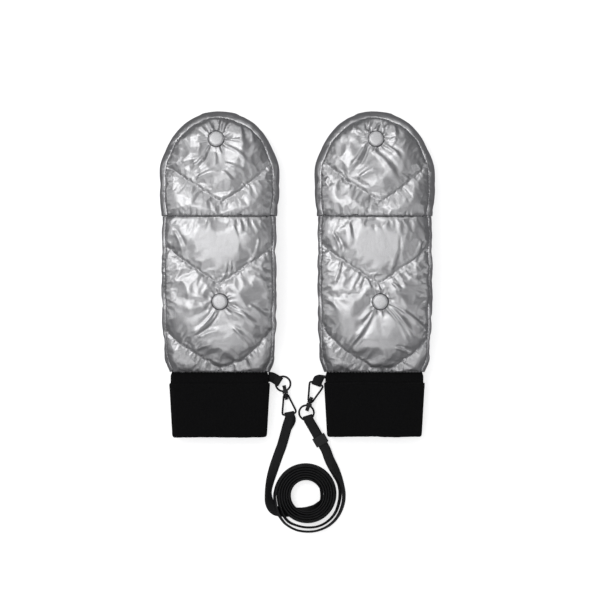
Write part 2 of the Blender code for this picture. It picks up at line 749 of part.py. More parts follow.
def make_leash_left():
    """From the left clip's bail, where it is folded back and sewn, to under the coil."""
    origin, bailward = CLIPS["left"]
    away = Vector((*bailward, 0)).normalized()
    bar = Vector((*origin, HARDWARE_Z)) - away * BAIL_BAR_U
    run = curve_through([(*(bar + away * 2)[:2], bar.z + FOLD_RADIUS, 0)] + list(LEFT_RUN), RUN_STEP)
    start = LEFT_RUN[0]
    sewn_end = Vector((start[0], start[1], start[2] - 2 * STITCHED_RADIUS))
    sewn = [(*sewn_end, 0), (*(bar + away * 7)[:2], bar.z - FOLD_RADIUS * 0.9, 0),
            (*(bar + away * 2)[:2], bar.z - FOLD_RADIUS, 0)]
    folded = fold_points(bar, away)
    across = level_normal(away)
    sewn_widths = [rolled_widths(run)[3], across, across]
    widths = sewn_widths + [across] * len(folded) + eased_widths(rolled_widths(run), across, 3)
    add_object("leash_strap_left", ribbon(sewn + folded + run, widths), "black_webbing", smooth=False)


def make_coil():
    inner, outer = COIL_RADII
    low, high = COIL_Z
    profile = ((inner, low), (outer, low), (outer, high), (inner, high))
    coil = moved(turned(profile, COIL_SIDES), Matrix.Translation((*COIL_CENTRE, 0)))
    add_object("leash_strap_coil", coil, "black_webbing")


# ---------------------------------------------------------------- rings, clips and slider

def make_ring(name, centre):
    place = Vector((*centre, HARDWARE_Z))
    profile = []
    for k in range(WIRE_SIDES):
        turn = math.tau * k / WIRE_SIDES
        profile.append((RING_RADIUS + WIRE_RADIUS * math.cos(turn), WIRE_RADIUS * math.sin(turn)))
    ring = moved(turned(profile, 24), Matrix.Translation(place))
    return add_object(name, ring, "black_metal", place)


def clip_frame(label):
    """X toward the nose of the hook, Y across it and Z up; the barrel's mouth is at the origin."""
    origin, bailward = CLIPS[label]
    nose = -Vector((*bailward, 0)).normalized()
    side = Vector((0, 0, 1)).cross(nose)
    rotation = Matrix((nose, side, Vector((0, 0, 1)))).transposed().to_4x4()
    return Matrix.Translation((*origin, HARDWARE_Z)) @ rotation


def rod(start, end, radius, sides=10):
    """A round bar between two points."""
    start, end = Vector(start), Vector(end)
    length = (end - start).length
    turn = (end - start).to_track_quat("Z", "Y").to_matrix().to_4x4()
    profile = ((0, length), (radius, length), (radius, 0), (0, 0))
    return moved(turned(profile, sides), Matrix.Translation(start) @ turn)


def wire(points, radius, sides=WIRE_SIDES):
    """A round wire bent through a row of points that lie level, mitred at each."""
    rings = []
    places = [Vector(point) for point in points]
    for i, place in enumerate(places):
        before = (place - places[i - 1]).normalized() if i else (places[1] - place).normalized()
        after = (places[i + 1] - place).normalized() if i < len(places) - 1 else before
        along = (before + after).normalized()
        across = Vector((0, 0, 1)).cross(along)
        stretch = 1 / max(0.4, before.dot(along))
        turns = [math.tau * k / sides for k in range(sides)]
        rings.append([place + (across * math.cos(t) * stretch + Vector((0, 0, 1)) * math.sin(t)) * radius
                      for t in turns])
    return capped(rings)


def make_bail(label, frame):
    """The swivel barrel with a triangle of wire, through whose bar the webbing is folded."""
    legs = [(u, v, 0) for u, v in BAIL_LEG]
    points = legs + [(u, -v, w) for u, v, w in reversed(legs)]
    barrel = rod((-BARREL_LENGTH, 0, 0), (0, 0, 0), BARREL_RADIUS, 16)
    shapes = [moved(barrel, frame), moved(wire(points, WIRE_RADIUS), frame)]
    bail = united(f"{label}_clip_bail", shapes, "black_metal", frame.translation)
    bore = moved(rod((-BARREL_LENGTH - 1, 0, 0), (1, 0, 0), BARREL_BORE, 16), frame)
    cut(bail, add_object(f"{label}_clip_bore", bore, None, frame.translation))
    return bail


def make_hook(label, frame):
    """A hook whose eye stands upright, on a shank that turns in the barrel."""
    wide = HOOK_HALF_WIDTH
    (eye_start, eye_end), (eye_low, eye_high) = HOOK_EYE_U, HOOK_EYE_W
    start, end = HOOK_OUTER_U
    bottom = HOOK_BOTTOM_W
    lug_u, lug_low, lug_high = HOOK_LUG
    outline = (
        (start, bottom), (end, bottom), (end, eye_high), (eye_end, eye_high), (eye_end, eye_low),
        (eye_start, eye_low), (eye_start, lug_low), (lug_u, lug_low), (lug_u, lug_high), (start, lug_high),
    )
    shapes = [
        capped([[(u, -wide, w) for u, w in outline], [(u, wide, w) for u, w in outline]]),
        rod((SHANK_END_U, 0, 0), (1, 0, 0), SHANK_RADIUS, 12),
        rod((SHANK_HEAD_U, 0, 0), (-BARREL_LENGTH - GAP, 0, 0), SHANK_HEAD_RADIUS, 12),
    ]
    hook = united(f"{label}_clip_hook", [moved(s, frame) for s in shapes], "black_metal", frame.translation)
    cut(hook, pin_hole(f"{label}_hook_pin_hole", frame))
    return hook


def pin_hole(name, frame):
    past = GATE_PIN_HALF_LENGTH + 1
    hole = rod((GATE_PIN_U, -past, GATE_PIN_W), (GATE_PIN_U, past, GATE_PIN_W), GATE_PIN_HOLE, 10)
    return add_object(name, moved(hole, frame), None, frame.translation)


def make_gate(label, frame):
    """A thumb gate over the eye, its two cheeks on a pin, with a leaf spring under it."""
    pivot = frame @ Vector((GATE_PIN_U, 0, GATE_PIN_W))
    shapes = [block(low, high) for low, high in (GATE_HEAD, GATE_TONGUE, *GATE_CHEEKS)]
    gate = united(f"{label}_clip_gate", [moved(s, frame) for s in shapes], "black_metal", pivot, False)
    cut(gate, pin_hole(f"{label}_gate_pin_hole", frame))
    reach = GATE_PIN_HALF_LENGTH
    ends = ((GATE_PIN_U, -reach, GATE_PIN_W), (GATE_PIN_U, reach, GATE_PIN_W))
    pin_shape = rod(*ends, GATE_PIN_RADIUS, 10)
    pin = add_object(f"{label}_clip_gate_pin", moved(pin_shape, frame), "steel", pivot)
    spring = moved(leaf_spring(GATE_SPRING), frame)
    leaf = add_object(f"{label}_clip_gate_spring", spring, "steel", pivot, False)
    return gate, pin, leaf


def leaf_spring(points):
    """A thin strip bent through points of (u, w)."""
    wide, thick = GATE_SPRING_HALF_WIDTH, GATE_SPRING_HALF_THICKNESS
    rings = []
    for u, w in points:
        under = u + GATE_SPRING_LEAN
        rings.append([(u, -wide, w + thick), (u, wide, w + thick), (under, wide, w - thick),
                      (under, -wide, w - thick)])
    return capped(rings)


def make_slider():
    length, width = SLIDER_SIZE
    low, high = SLIDER_Z
    turn = Matrix.Rotation(math.radians(SLIDER_ANGLE), 4, "Z")
    frame = Matrix.Translation((*SLIDER_CENTRE, 0)) @ turn
    pivot = (*SLIDER_CENTRE, WINDOW_Z[1])
    body = moved(block((-length / 2, -width / 2, low), (length / 2, width / 2, high)), frame)
    slider = add_object("leash_slider", body, "black_metal", pivot, False)
    for index, (bottom, top) in enumerate(SLIDER_WINDOWS):
        half = SLIDER_WINDOW_WIDTH / 2
        window = moved(block((-length, -half, bottom), (length, half, top)), frame)
        cut(slider, add_object(f"slider_window_{index}", window, None, pivot, False))
    return slider


# ---------------------------------------------------------------- assembly

def make_mitten(label, side):
    pivot = (side * MITTEN_X, HINGE_Y, HINGE_Z)
    mitten = add_empty(f"{label}_mitten", (side * MITTEN_X, 0, 0))
    cap_axis = add_empty(f"{label}_cap_axis", pivot)
    hand = make_hand_quilt(label, side)
    cap = make_cap_quilt(label, side, pivot)
    thumb = make_thumb(label, side)
    fixed = list(hand) + thumb + [make_finger_sleeve(label, side), make_rib_cuff(label, side)]
    hole = thumb_hole(label, side)
    for layer in (hand[1], hand[2], hand[3], *thumb):
        cut(layer, hole)
    hand_snap, cap_snap = make_snaps(label, side, hand, cap, pivot)
    for item in fixed + hand_snap:
        attach(item, mitten)
    for item in list(cap) + cap_snap:
        attach(item, cap_axis)


def make_clip(label):
    frame = clip_frame(label)
    swivel = add_empty(f"{label}_clip_axis", frame.translation)
    make_bail(label, frame)
    attach(make_hook(label, frame), swivel)
    for item in make_gate(label, frame):
        attach(item, swivel)


def main():
    clear_scene()
    for label, side in SIDES.items():
        make_mitten(label, side)
        make_clip(label)
    make_tabs()
    make_ring("left_tab_ring", TAB_RING)
    make_ring("leash_ring", LEASH_RING)
    make_slider()
    make_leash_right()
    make_leash_tail()
    make_leash_left()
    make_coil()


main()
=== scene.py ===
"""Looks of a pair of flip-top ski mittens on a leash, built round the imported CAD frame.

Everything is in metres: X across the pair, Y toward the fingertips, Z up from the table.
"""

import math
from collections import namedtuple

import bmesh
import bpy
import numpy as np
from mathutils import Matrix, Vector
from mathutils.geometry import delaunay_2d_cdt


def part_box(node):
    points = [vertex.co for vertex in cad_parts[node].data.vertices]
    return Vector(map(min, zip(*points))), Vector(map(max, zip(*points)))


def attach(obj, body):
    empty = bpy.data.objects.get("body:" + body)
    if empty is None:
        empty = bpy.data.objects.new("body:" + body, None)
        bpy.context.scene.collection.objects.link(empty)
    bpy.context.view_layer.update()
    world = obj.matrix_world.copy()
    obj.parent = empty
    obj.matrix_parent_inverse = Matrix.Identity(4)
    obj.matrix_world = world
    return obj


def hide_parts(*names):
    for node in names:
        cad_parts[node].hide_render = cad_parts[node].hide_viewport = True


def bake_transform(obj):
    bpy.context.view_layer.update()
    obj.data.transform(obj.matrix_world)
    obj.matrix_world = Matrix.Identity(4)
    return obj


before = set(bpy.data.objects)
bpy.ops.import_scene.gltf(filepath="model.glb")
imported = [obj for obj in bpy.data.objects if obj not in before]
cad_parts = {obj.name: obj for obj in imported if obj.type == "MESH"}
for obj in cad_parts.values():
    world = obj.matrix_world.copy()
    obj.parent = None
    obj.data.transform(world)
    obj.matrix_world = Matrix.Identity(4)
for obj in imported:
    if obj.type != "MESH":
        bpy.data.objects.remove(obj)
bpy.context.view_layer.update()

MM = 0.001
UP = Vector((0, 0, 1))

# ---------------------------------------------------------------- sizes

# Outlines, as stations of (y, half width, lowest z, highest z, squareness of the section).
HAND = (
    (-0.0970, 0.0500, 0.0006, 0.0258, 4.8),
    (-0.0870, 0.0540, 0.0008, 0.0325, 4.2),
    (-0.0750, 0.0553, 0.0060, 0.0385, 3.4),
    (-0.0600, 0.0560, 0.0125, 0.0434, 2.8),
    (-0.0450, 0.0566, 0.0148, 0.0464, 2.6),
    (-0.0170, 0.0570, 0.0152, 0.0478, 2.6),
    (0.0050, 0.0571, 0.0149, 0.0486, 2.6),
    (0.0300, 0.0570, 0.0144, 0.0488, 2.6),
    (0.0460, 0.0566, 0.0128, 0.0484, 2.6),
    (0.0582, 0.0562, 0.0115, 0.0478, 2.6),
)
CAP = (
    (0.0588, 0.0574, 0.0030, 0.0488, 2.6),
    (0.0720, 0.0583, 0.0030, 0.0483, 2.6),
    (0.0900, 0.0590, 0.0028, 0.0470, 2.6),
    (0.1100, 0.0580, 0.0024, 0.0452, 2.6),
    (0.1270, 0.0510, 0.0020, 0.0426, 2.5),
    (0.1430, 0.0410, 0.0026, 0.0396, 2.4),
    (0.1520, 0.0315, 0.0044, 0.0340, 2.3),
    (0.1580, 0.0200, 0.0066, 0.0265, 2.2),
    (0.1615, 0.0090, 0.0095, 0.0180, 2.0),
    (0.1620, 0.0040, 0.0105, 0.0165, 2.0),
)
MITTEN_X = 0.0775
SIDES = {"left": -1, "right": 1}
PARTS = {"hand": (HAND, False), "cap": (CAP, True)}
HEM_Y = 0.0585
TONGUE_LENGTH = 0.012
TONGUE_EDGE = (0.60, 0.90)
TONGUE_FADE = 0.030
CAP_SEAM_INSET = 0.0050
HAND_SEAM_INSET = 0.0030
SEAM_SWAY = 0.0009
# The seam's wander, as two waves of (share, metres for one radian).
SWAY_WAVES = ((0.6, 0.0093), (0.4, 0.0047))
PALM_INSET = 0.0090
WALL_ROWS = (5, 8)
BACK_SPACING = 0.0021
SPACING_JITTER = 0.18
SEAM_CLEARANCE = 0.62
PALM_SPACING = 0.0034
SEAM_SINK = 0.0026
SEAM_REACH = 0.0060
BOTTOM_HEM_SINK = 0.0004
TOP_HEM_SINK = 0.0010
HEM_REACH = 0.0040
CUFF_CLEARANCE = 0.0080
EDGE_SINK = 0.0009
EDGE_REACH = 0.004
PUFF_RISE = 0.0013
PALM_PUFF_RISE = 0.0004
HAND_TOP_LIMIT = 0.0505
CAP_TOP_LIMIT = 0.0500
TOP_EASE = 0.0012

# Quilting lines, as points (x from the mitten's centre line, y).
QUILT_LINES = {
    "left": {
        "cap": (((-0.0560, 0.1095), (-0.0300, 0.0935), (0.0022, 0.0722), (0.0200, 0.0830),
                 (0.0400, 0.0990), (0.0545, 0.1145)),),
        "hand": (
            ((-0.0560, 0.0305), (-0.0300, 0.0105), (0.0003, -0.0094), (0.0200, 0.0040), (0.0560, 0.0280)),
            ((-0.0565, -0.0500), (-0.0515, -0.0575), (-0.0414, -0.0678), (-0.0201, -0.0817),
             (0.0003, -0.0948), (0.0125, -0.0905), (0.0235, -0.0863), (0.0401, -0.0705), (0.0565, -0.0520)),
        ),
    },
    "right": {
        "cap": (((-0.0560, 0.1166), (-0.0283, 0.0935), (0.0062, 0.0730), (0.0269, 0.0872),
                 (0.0467, 0.1036), (0.0560, 0.1130)),),
        "hand": (
            ((-0.0565, 0.0320), (-0.0302, 0.0128), (-0.0089, -0.0011), (0.0042, -0.0087),
             (0.0235, 0.0044), (0.0565, 0.0275)),
            ((-0.0560, -0.0460), (-0.0534, -0.0500), (-0.0469, -0.0604), (-0.0312, -0.0752),
             (0.0003, -0.0955)),
            ((0.0161, -0.0955), (0.0364, -0.0803), (0.0475, -0.0715), (0.0540, -0.0613), (0.0565, -0.0560)),
        ),
    },
}

# Radiating folds, as (x, y of the start, x, y of the end, height, half width), from the mitten's centre line.
FOLDS = {
    "left": {
        "hand": (
            (-0.004, -0.036, -0.032, -0.062, 0.0016, 0.0022),
            (-0.001, -0.037, -0.024, -0.060, 0.0013, 0.0016),
            (-0.010, -0.029, -0.036, -0.034, 0.0014, 0.0040), (0.009, -0.033, 0.040, -0.053, 0.0017, 0.0023),
            (0.012, -0.030, 0.030, -0.044, 0.0010, 0.0014), (0.014, -0.052, 0.032, -0.075, 0.0015, 0.0024),
            (-0.020, -0.062, 0.002, -0.056, 0.0015, 0.0026), (-0.022, -0.074, -0.004, -0.068, 0.0010, 0.0026),
            (-0.010, -0.024, -0.036, -0.014, 0.0010, 0.0036), (0.030, -0.030, 0.046, -0.044, 0.0013, 0.0022),
            (0.014, 0.050, 0.018, 0.020, 0.0013, 0.0020), (0.040, 0.036, 0.031, 0.010, 0.0014, 0.0022),
            (0.008, 0.012, 0.004, -0.004, 0.0009, 0.0014), (-0.045, 0.045, -0.036, 0.020, 0.0013, 0.0022),
            (0.000, -0.018, -0.001, -0.012, 0.0011, 0.0011), (0.012, 0.014, 0.010, -0.002, 0.0008, 0.0012),
            (0.020, 0.056, 0.022, 0.040, 0.0014, 0.0022), (0.034, 0.000, 0.050, -0.012, 0.0012, 0.0026),
        ),
        "cap": (
            (-0.008, 0.139, -0.021, 0.150, 0.0015, 0.0017), (-0.010, 0.137, -0.023, 0.140, 0.0012, 0.0022),
            (-0.006, 0.143, -0.012, 0.156, 0.0014, 0.0018), (0.001, 0.144, 0.004, 0.156, 0.0013, 0.0016),
            (0.006, 0.143, 0.014, 0.154, 0.0017, 0.0024), (-0.009, 0.129, -0.016, 0.118, 0.0014, 0.0015),
            (-0.012, 0.120, -0.030, 0.106, 0.0016, 0.0024), (-0.020, 0.117, -0.040, 0.113, 0.0012, 0.0030),
            (-0.022, 0.096, 0.002, 0.103, 0.0014, 0.0026), (0.008, 0.128, 0.028, 0.113, 0.0013, 0.0020),
            (0.006, 0.111, 0.026, 0.101, 0.0011, 0.0018), (0.004, 0.103, 0.014, 0.090, 0.0010, 0.0022),
            (0.030, 0.147, 0.034, 0.128, 0.0013, 0.0020), (0.012, 0.134, 0.022, 0.133, 0.0010, 0.0016),
            (-0.004, 0.122, -0.004, 0.108, 0.0008, 0.0018), (0.020, 0.150, 0.022, 0.128, 0.0012, 0.0026),
        ),
    },
    "right": {
        "hand": (
            (-0.002, -0.036, -0.030, -0.073, 0.0018, 0.0025),
            (-0.004, -0.034, -0.016, -0.046, 0.0012, 0.0020),
            (0.014, -0.031, 0.038, -0.064, 0.0019, 0.0027), (0.015, -0.029, 0.052, -0.058, 0.0014, 0.0020),
            (0.012, -0.034, 0.034, -0.070, 0.0010, 0.0016), (0.020, -0.072, 0.038, -0.081, 0.0013, 0.0018),
            (-0.008, -0.004, -0.004, -0.018, 0.0013, 0.0014), (0.002, -0.009, 0.005, -0.018, 0.0010, 0.0012),
            (0.016, -0.008, 0.026, -0.016, 0.0014, 0.0016), (0.034, -0.002, 0.046, -0.008, 0.0010, 0.0028),
            (-0.034, 0.014, -0.044, -0.014, 0.0012, 0.0018), (-0.012, 0.000, -0.018, -0.014, 0.0010, 0.0016),
            (0.022, 0.040, 0.013, -0.002, 0.0016, 0.0024), (0.046, 0.034, 0.036, 0.012, 0.0015, 0.0022),
            (-0.026, 0.052, -0.026, 0.024, 0.0012, 0.0024), (0.002, 0.050, 0.006, 0.018, 0.0011, 0.0034),
            (-0.042, 0.042, -0.034, 0.020, 0.0014, 0.0020), (-0.048, -0.024, -0.030, -0.040, 0.0010, 0.0036),
            (0.050, 0.012, 0.058, -0.004, 0.0012, 0.0018), (-0.006, 0.000, 0.004, 0.001, 0.0007, 0.0010),
        ),
        "cap": (
            (-0.009, 0.131, -0.029, 0.103, 0.0018, 0.0023), (-0.008, 0.128, -0.022, 0.106, 0.0013, 0.0018),
            (-0.009, 0.139, -0.022, 0.148, 0.0016, 0.0024), (-0.022, 0.154, -0.023, 0.140, 0.0012, 0.0016),
            (-0.006, 0.143, -0.004, 0.156, 0.0013, 0.0017), (0.001, 0.144, 0.006, 0.152, 0.0010, 0.0014),
            (0.009, 0.139, 0.014, 0.150, 0.0015, 0.0022), (0.010, 0.129, 0.026, 0.115, 0.0015, 0.0019),
            (-0.004, 0.125, 0.022, 0.094, 0.0018, 0.0030), (-0.016, 0.096, 0.004, 0.106, 0.0014, 0.0028),
            (0.014, 0.133, 0.022, 0.136, 0.0009, 0.0015), (0.026, 0.100, 0.034, 0.093, 0.0009, 0.0016),
            (-0.046, 0.098, -0.052, 0.088, 0.0011, 0.0022), (-0.036, 0.146, -0.034, 0.128, 0.0012, 0.0030),
            (0.018, 0.152, 0.020, 0.136, 0.0011, 0.0024),
        ),
    },
}

# ---------------------------------------------------------------- camera

VIEW_WIDTH = 0.600
VIEW_CENTRE = (0.003, -0.025)
CAMERA_HEIGHT = 3.0
SUBJECT_HEIGHT = 0.02
SENSOR_WIDTH_MM = 36.0


def make_camera():
    data = bpy.data.cameras.new("camera")
    data.sensor_width = SENSOR_WIDTH_MM
    data.lens = SENSOR_WIDTH_MM * (CAMERA_HEIGHT - SUBJECT_HEIGHT) / VIEW_WIDTH
    camera = bpy.data.objects.new("camera", data)
    camera.location = (*VIEW_CENTRE, CAMERA_HEIGHT)
    bpy.context.scene.collection.objects.link(camera)
    bpy.context.scene.camera = camera


# ---------------------------------------------------------------- small tools

def link(obj):
    bpy.context.scene.collection.objects.link(obj)
    return obj


def mesh_object(name, points, faces, finish, smooth=True):
    mesh = bpy.data.meshes.new(name)
    mesh.from_pydata([tuple(p) for p in points], [], [tuple(f) for f in faces])
    mesh.polygons.foreach_set("use_smooth", [smooth] * len(mesh.polygons))
    mesh.materials.append(finish)
    mesh.update()
    return link(bpy.data.objects.new(name, mesh))


def grid_faces(rows, columns, wrap_rows=False, wrap_columns=False):
    faces = []
    for i in range(rows - (0 if wrap_rows else 1)):
        for j in range(columns - (0 if wrap_columns else 1)):
            a, b = i * columns, ((i + 1) % rows) * columns
            k = (j + 1) % columns
            faces.append((a + j, a + k, b + k, b + j))
    return faces


def smoothstep(value):
    value = np.clip(value, 0.0, 1.0)
    return value * value * (3 - 2 * value)


def coordinates(obj):
    co = np.empty(len(obj.data.vertices) * 3)
    obj.data.vertices.foreach_get("co", co)
    return co.reshape(-1, 3)


def normals(obj):
    co = np.empty(len(obj.data.vertices) * 3)
    obj.data.vertex_normals.foreach_get("vector", co)
    return co.reshape(-1, 3)


def set_coordinates(obj, co):
    obj.data.vertices.foreach_set("co", co.ravel())
    obj.data.update()


def apply_modifiers(obj):
    """Keep the mesh that the modifiers give, and drop the modifiers."""
    graph = bpy.context.evaluated_depsgraph_get()
    mesh = bpy.data.meshes.new_from_object(obj.evaluated_get(graph))
    old = obj.data
    obj.modifiers.clear()
    obj.data = mesh
    bpy.data.meshes.remove(old)
    mesh.name = obj.name


def outward(obj, merge=0.0):
    """Turn all faces out, after merging points that lie closer than merge."""
    shape = bmesh.new()
    shape.from_mesh(obj.data)
    if merge:
        bmesh.ops.remove_doubles(shape, verts=shape.verts, dist=merge)
    bmesh.ops.recalc_face_normals(shape, faces=shape.faces)
    shape.to_mesh(obj.data)
    shape.free()
    return obj


def solid(name, points, faces, finish):
    return outward(mesh_object(name, points, faces, finish))


def end_faces(rows, columns):
    """The two faces that close a grid of rings at its ends."""
    last = (rows - 1) * columns
    return [tuple(range(columns)), tuple(range(last, last + columns))[::-1]]


def renumbered(faces, start):
    return [tuple(start + i for i in face) for face in faces]


def circle(sides, radius):
    turns = [math.tau * k / sides for k in range(sides)]
    return [(radius * math.cos(turn), radius * math.sin(turn)) for turn in turns]


def prefix_of(label, part):
    return f"{label}_" if part == "hand" else f"{label}_cap_"


def body_of(label, part):
    return "root" if part == "hand" else f"{label}_cap"


def arc_length(line):
    """How far along a line each of its points lies."""
    return np.concatenate([[0], np.cumsum(np.linalg.norm(np.diff(line, axis=0), axis=1))])


def placed(obj, body, slot, *replaced):
    """Ride a piece on a body and hide the CAD nodes that it stands for; the slot is not used."""
    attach(obj, body)
    if replaced:
        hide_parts(*replaced)


def resampled(points, spacing):
    """A polyline's points again, evenly spaced, its two ends kept."""
    points = np.asarray(points, float)
    arc = arc_length(points)
    count = max(2, int(round(arc[-1] / spacing)) + 1)
    at = np.linspace(0, arc[-1], count)
    return np.stack([np.interp(at, arc, points[:, k]) for k in range(points.shape[1])], axis=1)


# ---------------------------------------------------------------- materials

def shader(name, color, roughness, metallic=0.0, **sockets):
    """A Principled material whose noise-driven colour and roughness are filled in by its maker."""
    material = bpy.data.materials.new(name)
    material.use_nodes = True
    principled = material.node_tree.nodes["Principled BSDF"]
    principled.inputs["Base Color"].default_value = (*color, 1)
    principled.inputs["Roughness"].default_value = roughness
    principled.inputs["Metallic"].default_value = metallic
    for socket, value in sockets.items():
        principled.inputs[socket.replace("_", " ")].default_value = value
    return material, principled


def add(material, kind, **values):
    node = material.node_tree.nodes.new(kind)
    for key, value in values.items():
        if key in node.inputs:
            node.inputs[key].default_value = value
        else:
            setattr(node, key, value)
    return node


def wire_up(material, source, target):
    material.node_tree.links.new(source, target)


def object_point(material):
    return add(material, "ShaderNodeTexCoord").outputs["Object"]


def noise(material, vector, scale, detail=3.0, roughness=0.55):
    node = add(material, "ShaderNodeTexNoise", Scale=scale, Detail=detail, Roughness=roughness)
    wire_up(material, vector, node.inputs["Vector"])
    return node.outputs["Fac"]


def waves(material, vector, scale, axis, distortion=0.0):
    node = add(material, "ShaderNodeTexWave", Scale=scale, Distortion=distortion, bands_direction=axis)
    wire_up(material, vector, node.inputs["Vector"])
    return node.outputs["Fac"]


def mapped(material, value, low, high):
    node = add(material, "ShaderNodeMapRange")
    node.inputs["To Min"].default_value = low
    node.inputs["To Max"].default_value = high
    wire_up(material, value, node.inputs["Value"])
    return node.outputs["Result"]


def tinted(material, value, dark, light):
    node = add(material, "ShaderNodeValToRGB")
    node.color_ramp.elements[0].position = 0.3
    node.color_ramp.elements[1].position = 0.7
    node.color_ramp.elements[0].color = (*dark, 1)
    node.color_ramp.elements[1].color = (*light, 1)
    wire_up(material, value, node.inputs["Fac"])
    return node.outputs["Color"]


def bumped(material, principled, layers):
    """Bump layers of (height, distance, strength), one over another."""
    normal = None
    for height, distance, strength in layers:
        node = add(material, "ShaderNodeBump", Distance=distance, Strength=strength)
        wire_up(material, height, node.inputs["Height"])
        if normal is not None:
            wire_up(material, normal, node.inputs["Normal"])
        normal = node.outputs["Normal"]
    wire_up(material, normal, principled.inputs["Normal"])


def silver_fabric():
    """Foil-coated plain weave: satin metal with a fine crinkle."""
    material, principled = shader("silver_fabric", (0.70, 0.70, 0.705), 0.40, 1.0)
    at = object_point(material)
    broad = noise(material, at, 60.0)
    crinkle = noise(material, at, 260.0, 4.0)
    grain = noise(material, at, 2600.0, 1.0)
    wire_up(material, mapped(material, broad, 0.38, 0.47), principled.inputs["Roughness"])
    wire_up(material, tinted(material, grain, (0.64, 0.64, 0.65), (0.74, 0.74, 0.75)),
            principled.inputs["Base Color"])
    weft = waves(material, at, 620.0, "X")
    warp = waves(material, at, 620.0, "Y")
    bumped(material, principled, [(crinkle, 0.0010, 0.16), (weft, 0.00005, 0.25), (warp, 0.00005, 0.25),
                                  (grain, 0.0001, 0.15)])
    return material


def stitch_thread():
    material, principled = shader("stitch_thread", (0.36, 0.36, 0.37), 0.55)
    at = object_point(material)
    twist = waves(material, at, 900.0, "DIAGONAL")
    wire_up(material, tinted(material, twist, (0.24, 0.24, 0.25), (0.46, 0.46, 0.47)),
            principled.inputs["Base Color"])
    bumped(material, principled, [(twist, 0.0001, 0.5)])
    return material


def black_knit():
    material, principled = shader("black_knit", (0.006, 0.006, 0.0065), 0.92, Sheen_Weight=0.03,
                                  Sheen_Roughness=0.5, Specular_IOR_Level=0.10)
    at = object_point(material)
    loops = waves(material, at, 260.0, "Y", 1.5)
    fuzz = noise(material, at, 1500.0, 2.0)
    wire_up(material, tinted(material, fuzz, (0.003, 0.003, 0.0033), (0.009, 0.009, 0.0095)),
            principled.inputs["Base Color"])
    bumped(material, principled, [(loops, 0.0003, 0.6), (fuzz, 0.0003, 0.4)])
    return material


def black_webbing():
    """Flat woven strap: weft bars across it and warp ribs along it, from its own UVs."""
    material, principled = shader("black_webbing", (0.013, 0.013, 0.014), 0.62, Specular_IOR_Level=0.25)
    uv = add(material, "ShaderNodeTexCoord").outputs["UV"]
    bars = waves(material, uv, 300.0, "Y")
    ribs = waves(material, uv, 250.0, "X")
    fuzz = noise(material, object_point(material), 1800.0, 2.0)
    wire_up(material, tinted(material, bars, (0.008, 0.008, 0.009), (0.022, 0.022, 0.023)),
            principled.inputs["Base Color"])
    wire_up(material, mapped(material, fuzz, 0.5, 0.75), principled.inputs["Roughness"])
    bumped(material, principled, [(bars, 0.0002, 0.7), (ribs, 0.0002, 0.5), (fuzz, 0.0001, 0.3)])
    return material


def metal(name, color, roughness, metallic, speckle=0.1, scale=900.0, **sockets):
    material, principled = shader(name, color, roughness, metallic, **sockets)
    at = object_point(material)
    spots = noise(material, at, scale, 3.0)
    dark = tuple(c * (1 - speckle) for c in color)
    light = tuple(min(1.0, c * (1 + speckle)) for c in color)
    wire_up(material, tinted(material, spots, dark, light), principled.inputs["Base Color"])
    uneven = mapped(material, spots, roughness - 0.06, roughness + 0.06)
    wire_up(material, uneven, principled.inputs["Roughness"])
    bumped(material, principled, [(spots, 0.0001, 0.25)])
    return material


def fleece(dark, light):
    material, principled = shader("lining", light, 0.95, Sheen_Weight=0.3, Sheen_Roughness=0.6)
    at = object_point(material)
    tufts = noise(material, at, 420.0, 4.0, 0.7)
    wire_up(material, tinted(material, tufts, dark, light), principled.inputs["Base Color"])
    bumped(material, principled, [(tufts, 0.0012, 0.8)])
    return material


def make_finishes():
    return {
        "silver_fabric": silver_fabric(),
        "thread": stitch_thread(),
        "black_knit": black_knit(),
        "black_webbing": black_webbing(),
        "black_metal": metal("black_metal", (0.012, 0.012, 0.013), 0.42, 0.0, 0.3, Specular_IOR_Level=0.3),
        "silver_metal": metal("silver_metal", (0.80, 0.80, 0.81), 0.42, 0.55, 0.16, 1400.0),
        "dark_rim": metal("dark_rim", (0.10, 0.10, 0.105), 0.35, 0.9, 0.2),
        "magnet": metal("magnet", (0.35, 0.35, 0.36), 0.3, 1.0),
        "steel": metal("steel", (0.5, 0.5, 0.5), 0.3, 1.0),
        "lining": fleece((0.030, 0.030, 0.033), (0.075, 0.075, 0.080)),
    }


# ---------------------------------------------------------------- the quilt's plain form

def station_values(stations, y):
    """Half width, low z, high z and squareness at each y, on a smooth curve through the stations."""
    y = np.asarray(y, float)
    table = np.array(stations)
    ys = table[:, 0]
    i = np.clip(np.searchsorted(ys, y) - 1, 0, len(ys) - 2)
    span = ys[i + 1] - ys[i]
    t = np.clip((y - ys[i]) / span, 0, 1)
    values = []
    for k in range(1, 5):
        v = table[:, k]
        slope = np.gradient(v, ys)
        values.append((2 * t ** 3 - 3 * t ** 2 + 1) * v[i] + (t ** 3 - 2 * t ** 2 + t) * span * slope[i]
                      + (3 * t ** 2 - 2 * t ** 3) * v[i + 1] + (t ** 3 - t ** 2) * span * slope[i + 1])
    return values


def form_height(stations, x, y, upper, depth=0.0):
    """Height of the form's upper or lower face over a point (x from its centre line, y)."""
    half, low, high, square = station_values(stations, y)
    across = np.clip(np.abs(x) / (half - depth), 0, 1)
    middle = (low + high) / 2
    rise = ((high - low) / 2 - depth) * (1 - across ** square) ** (1 / square)
    return middle + rise if upper else middle - rise


def side_outline(stations, side):
    """The form's edge seen from above, on one side, from hem to hem or tip."""
    ys = np.linspace(stations[0][0], stations[-1][0], 400)
    half = station_values(stations, ys)[0]
    return np.stack([side * half, ys], axis=1)


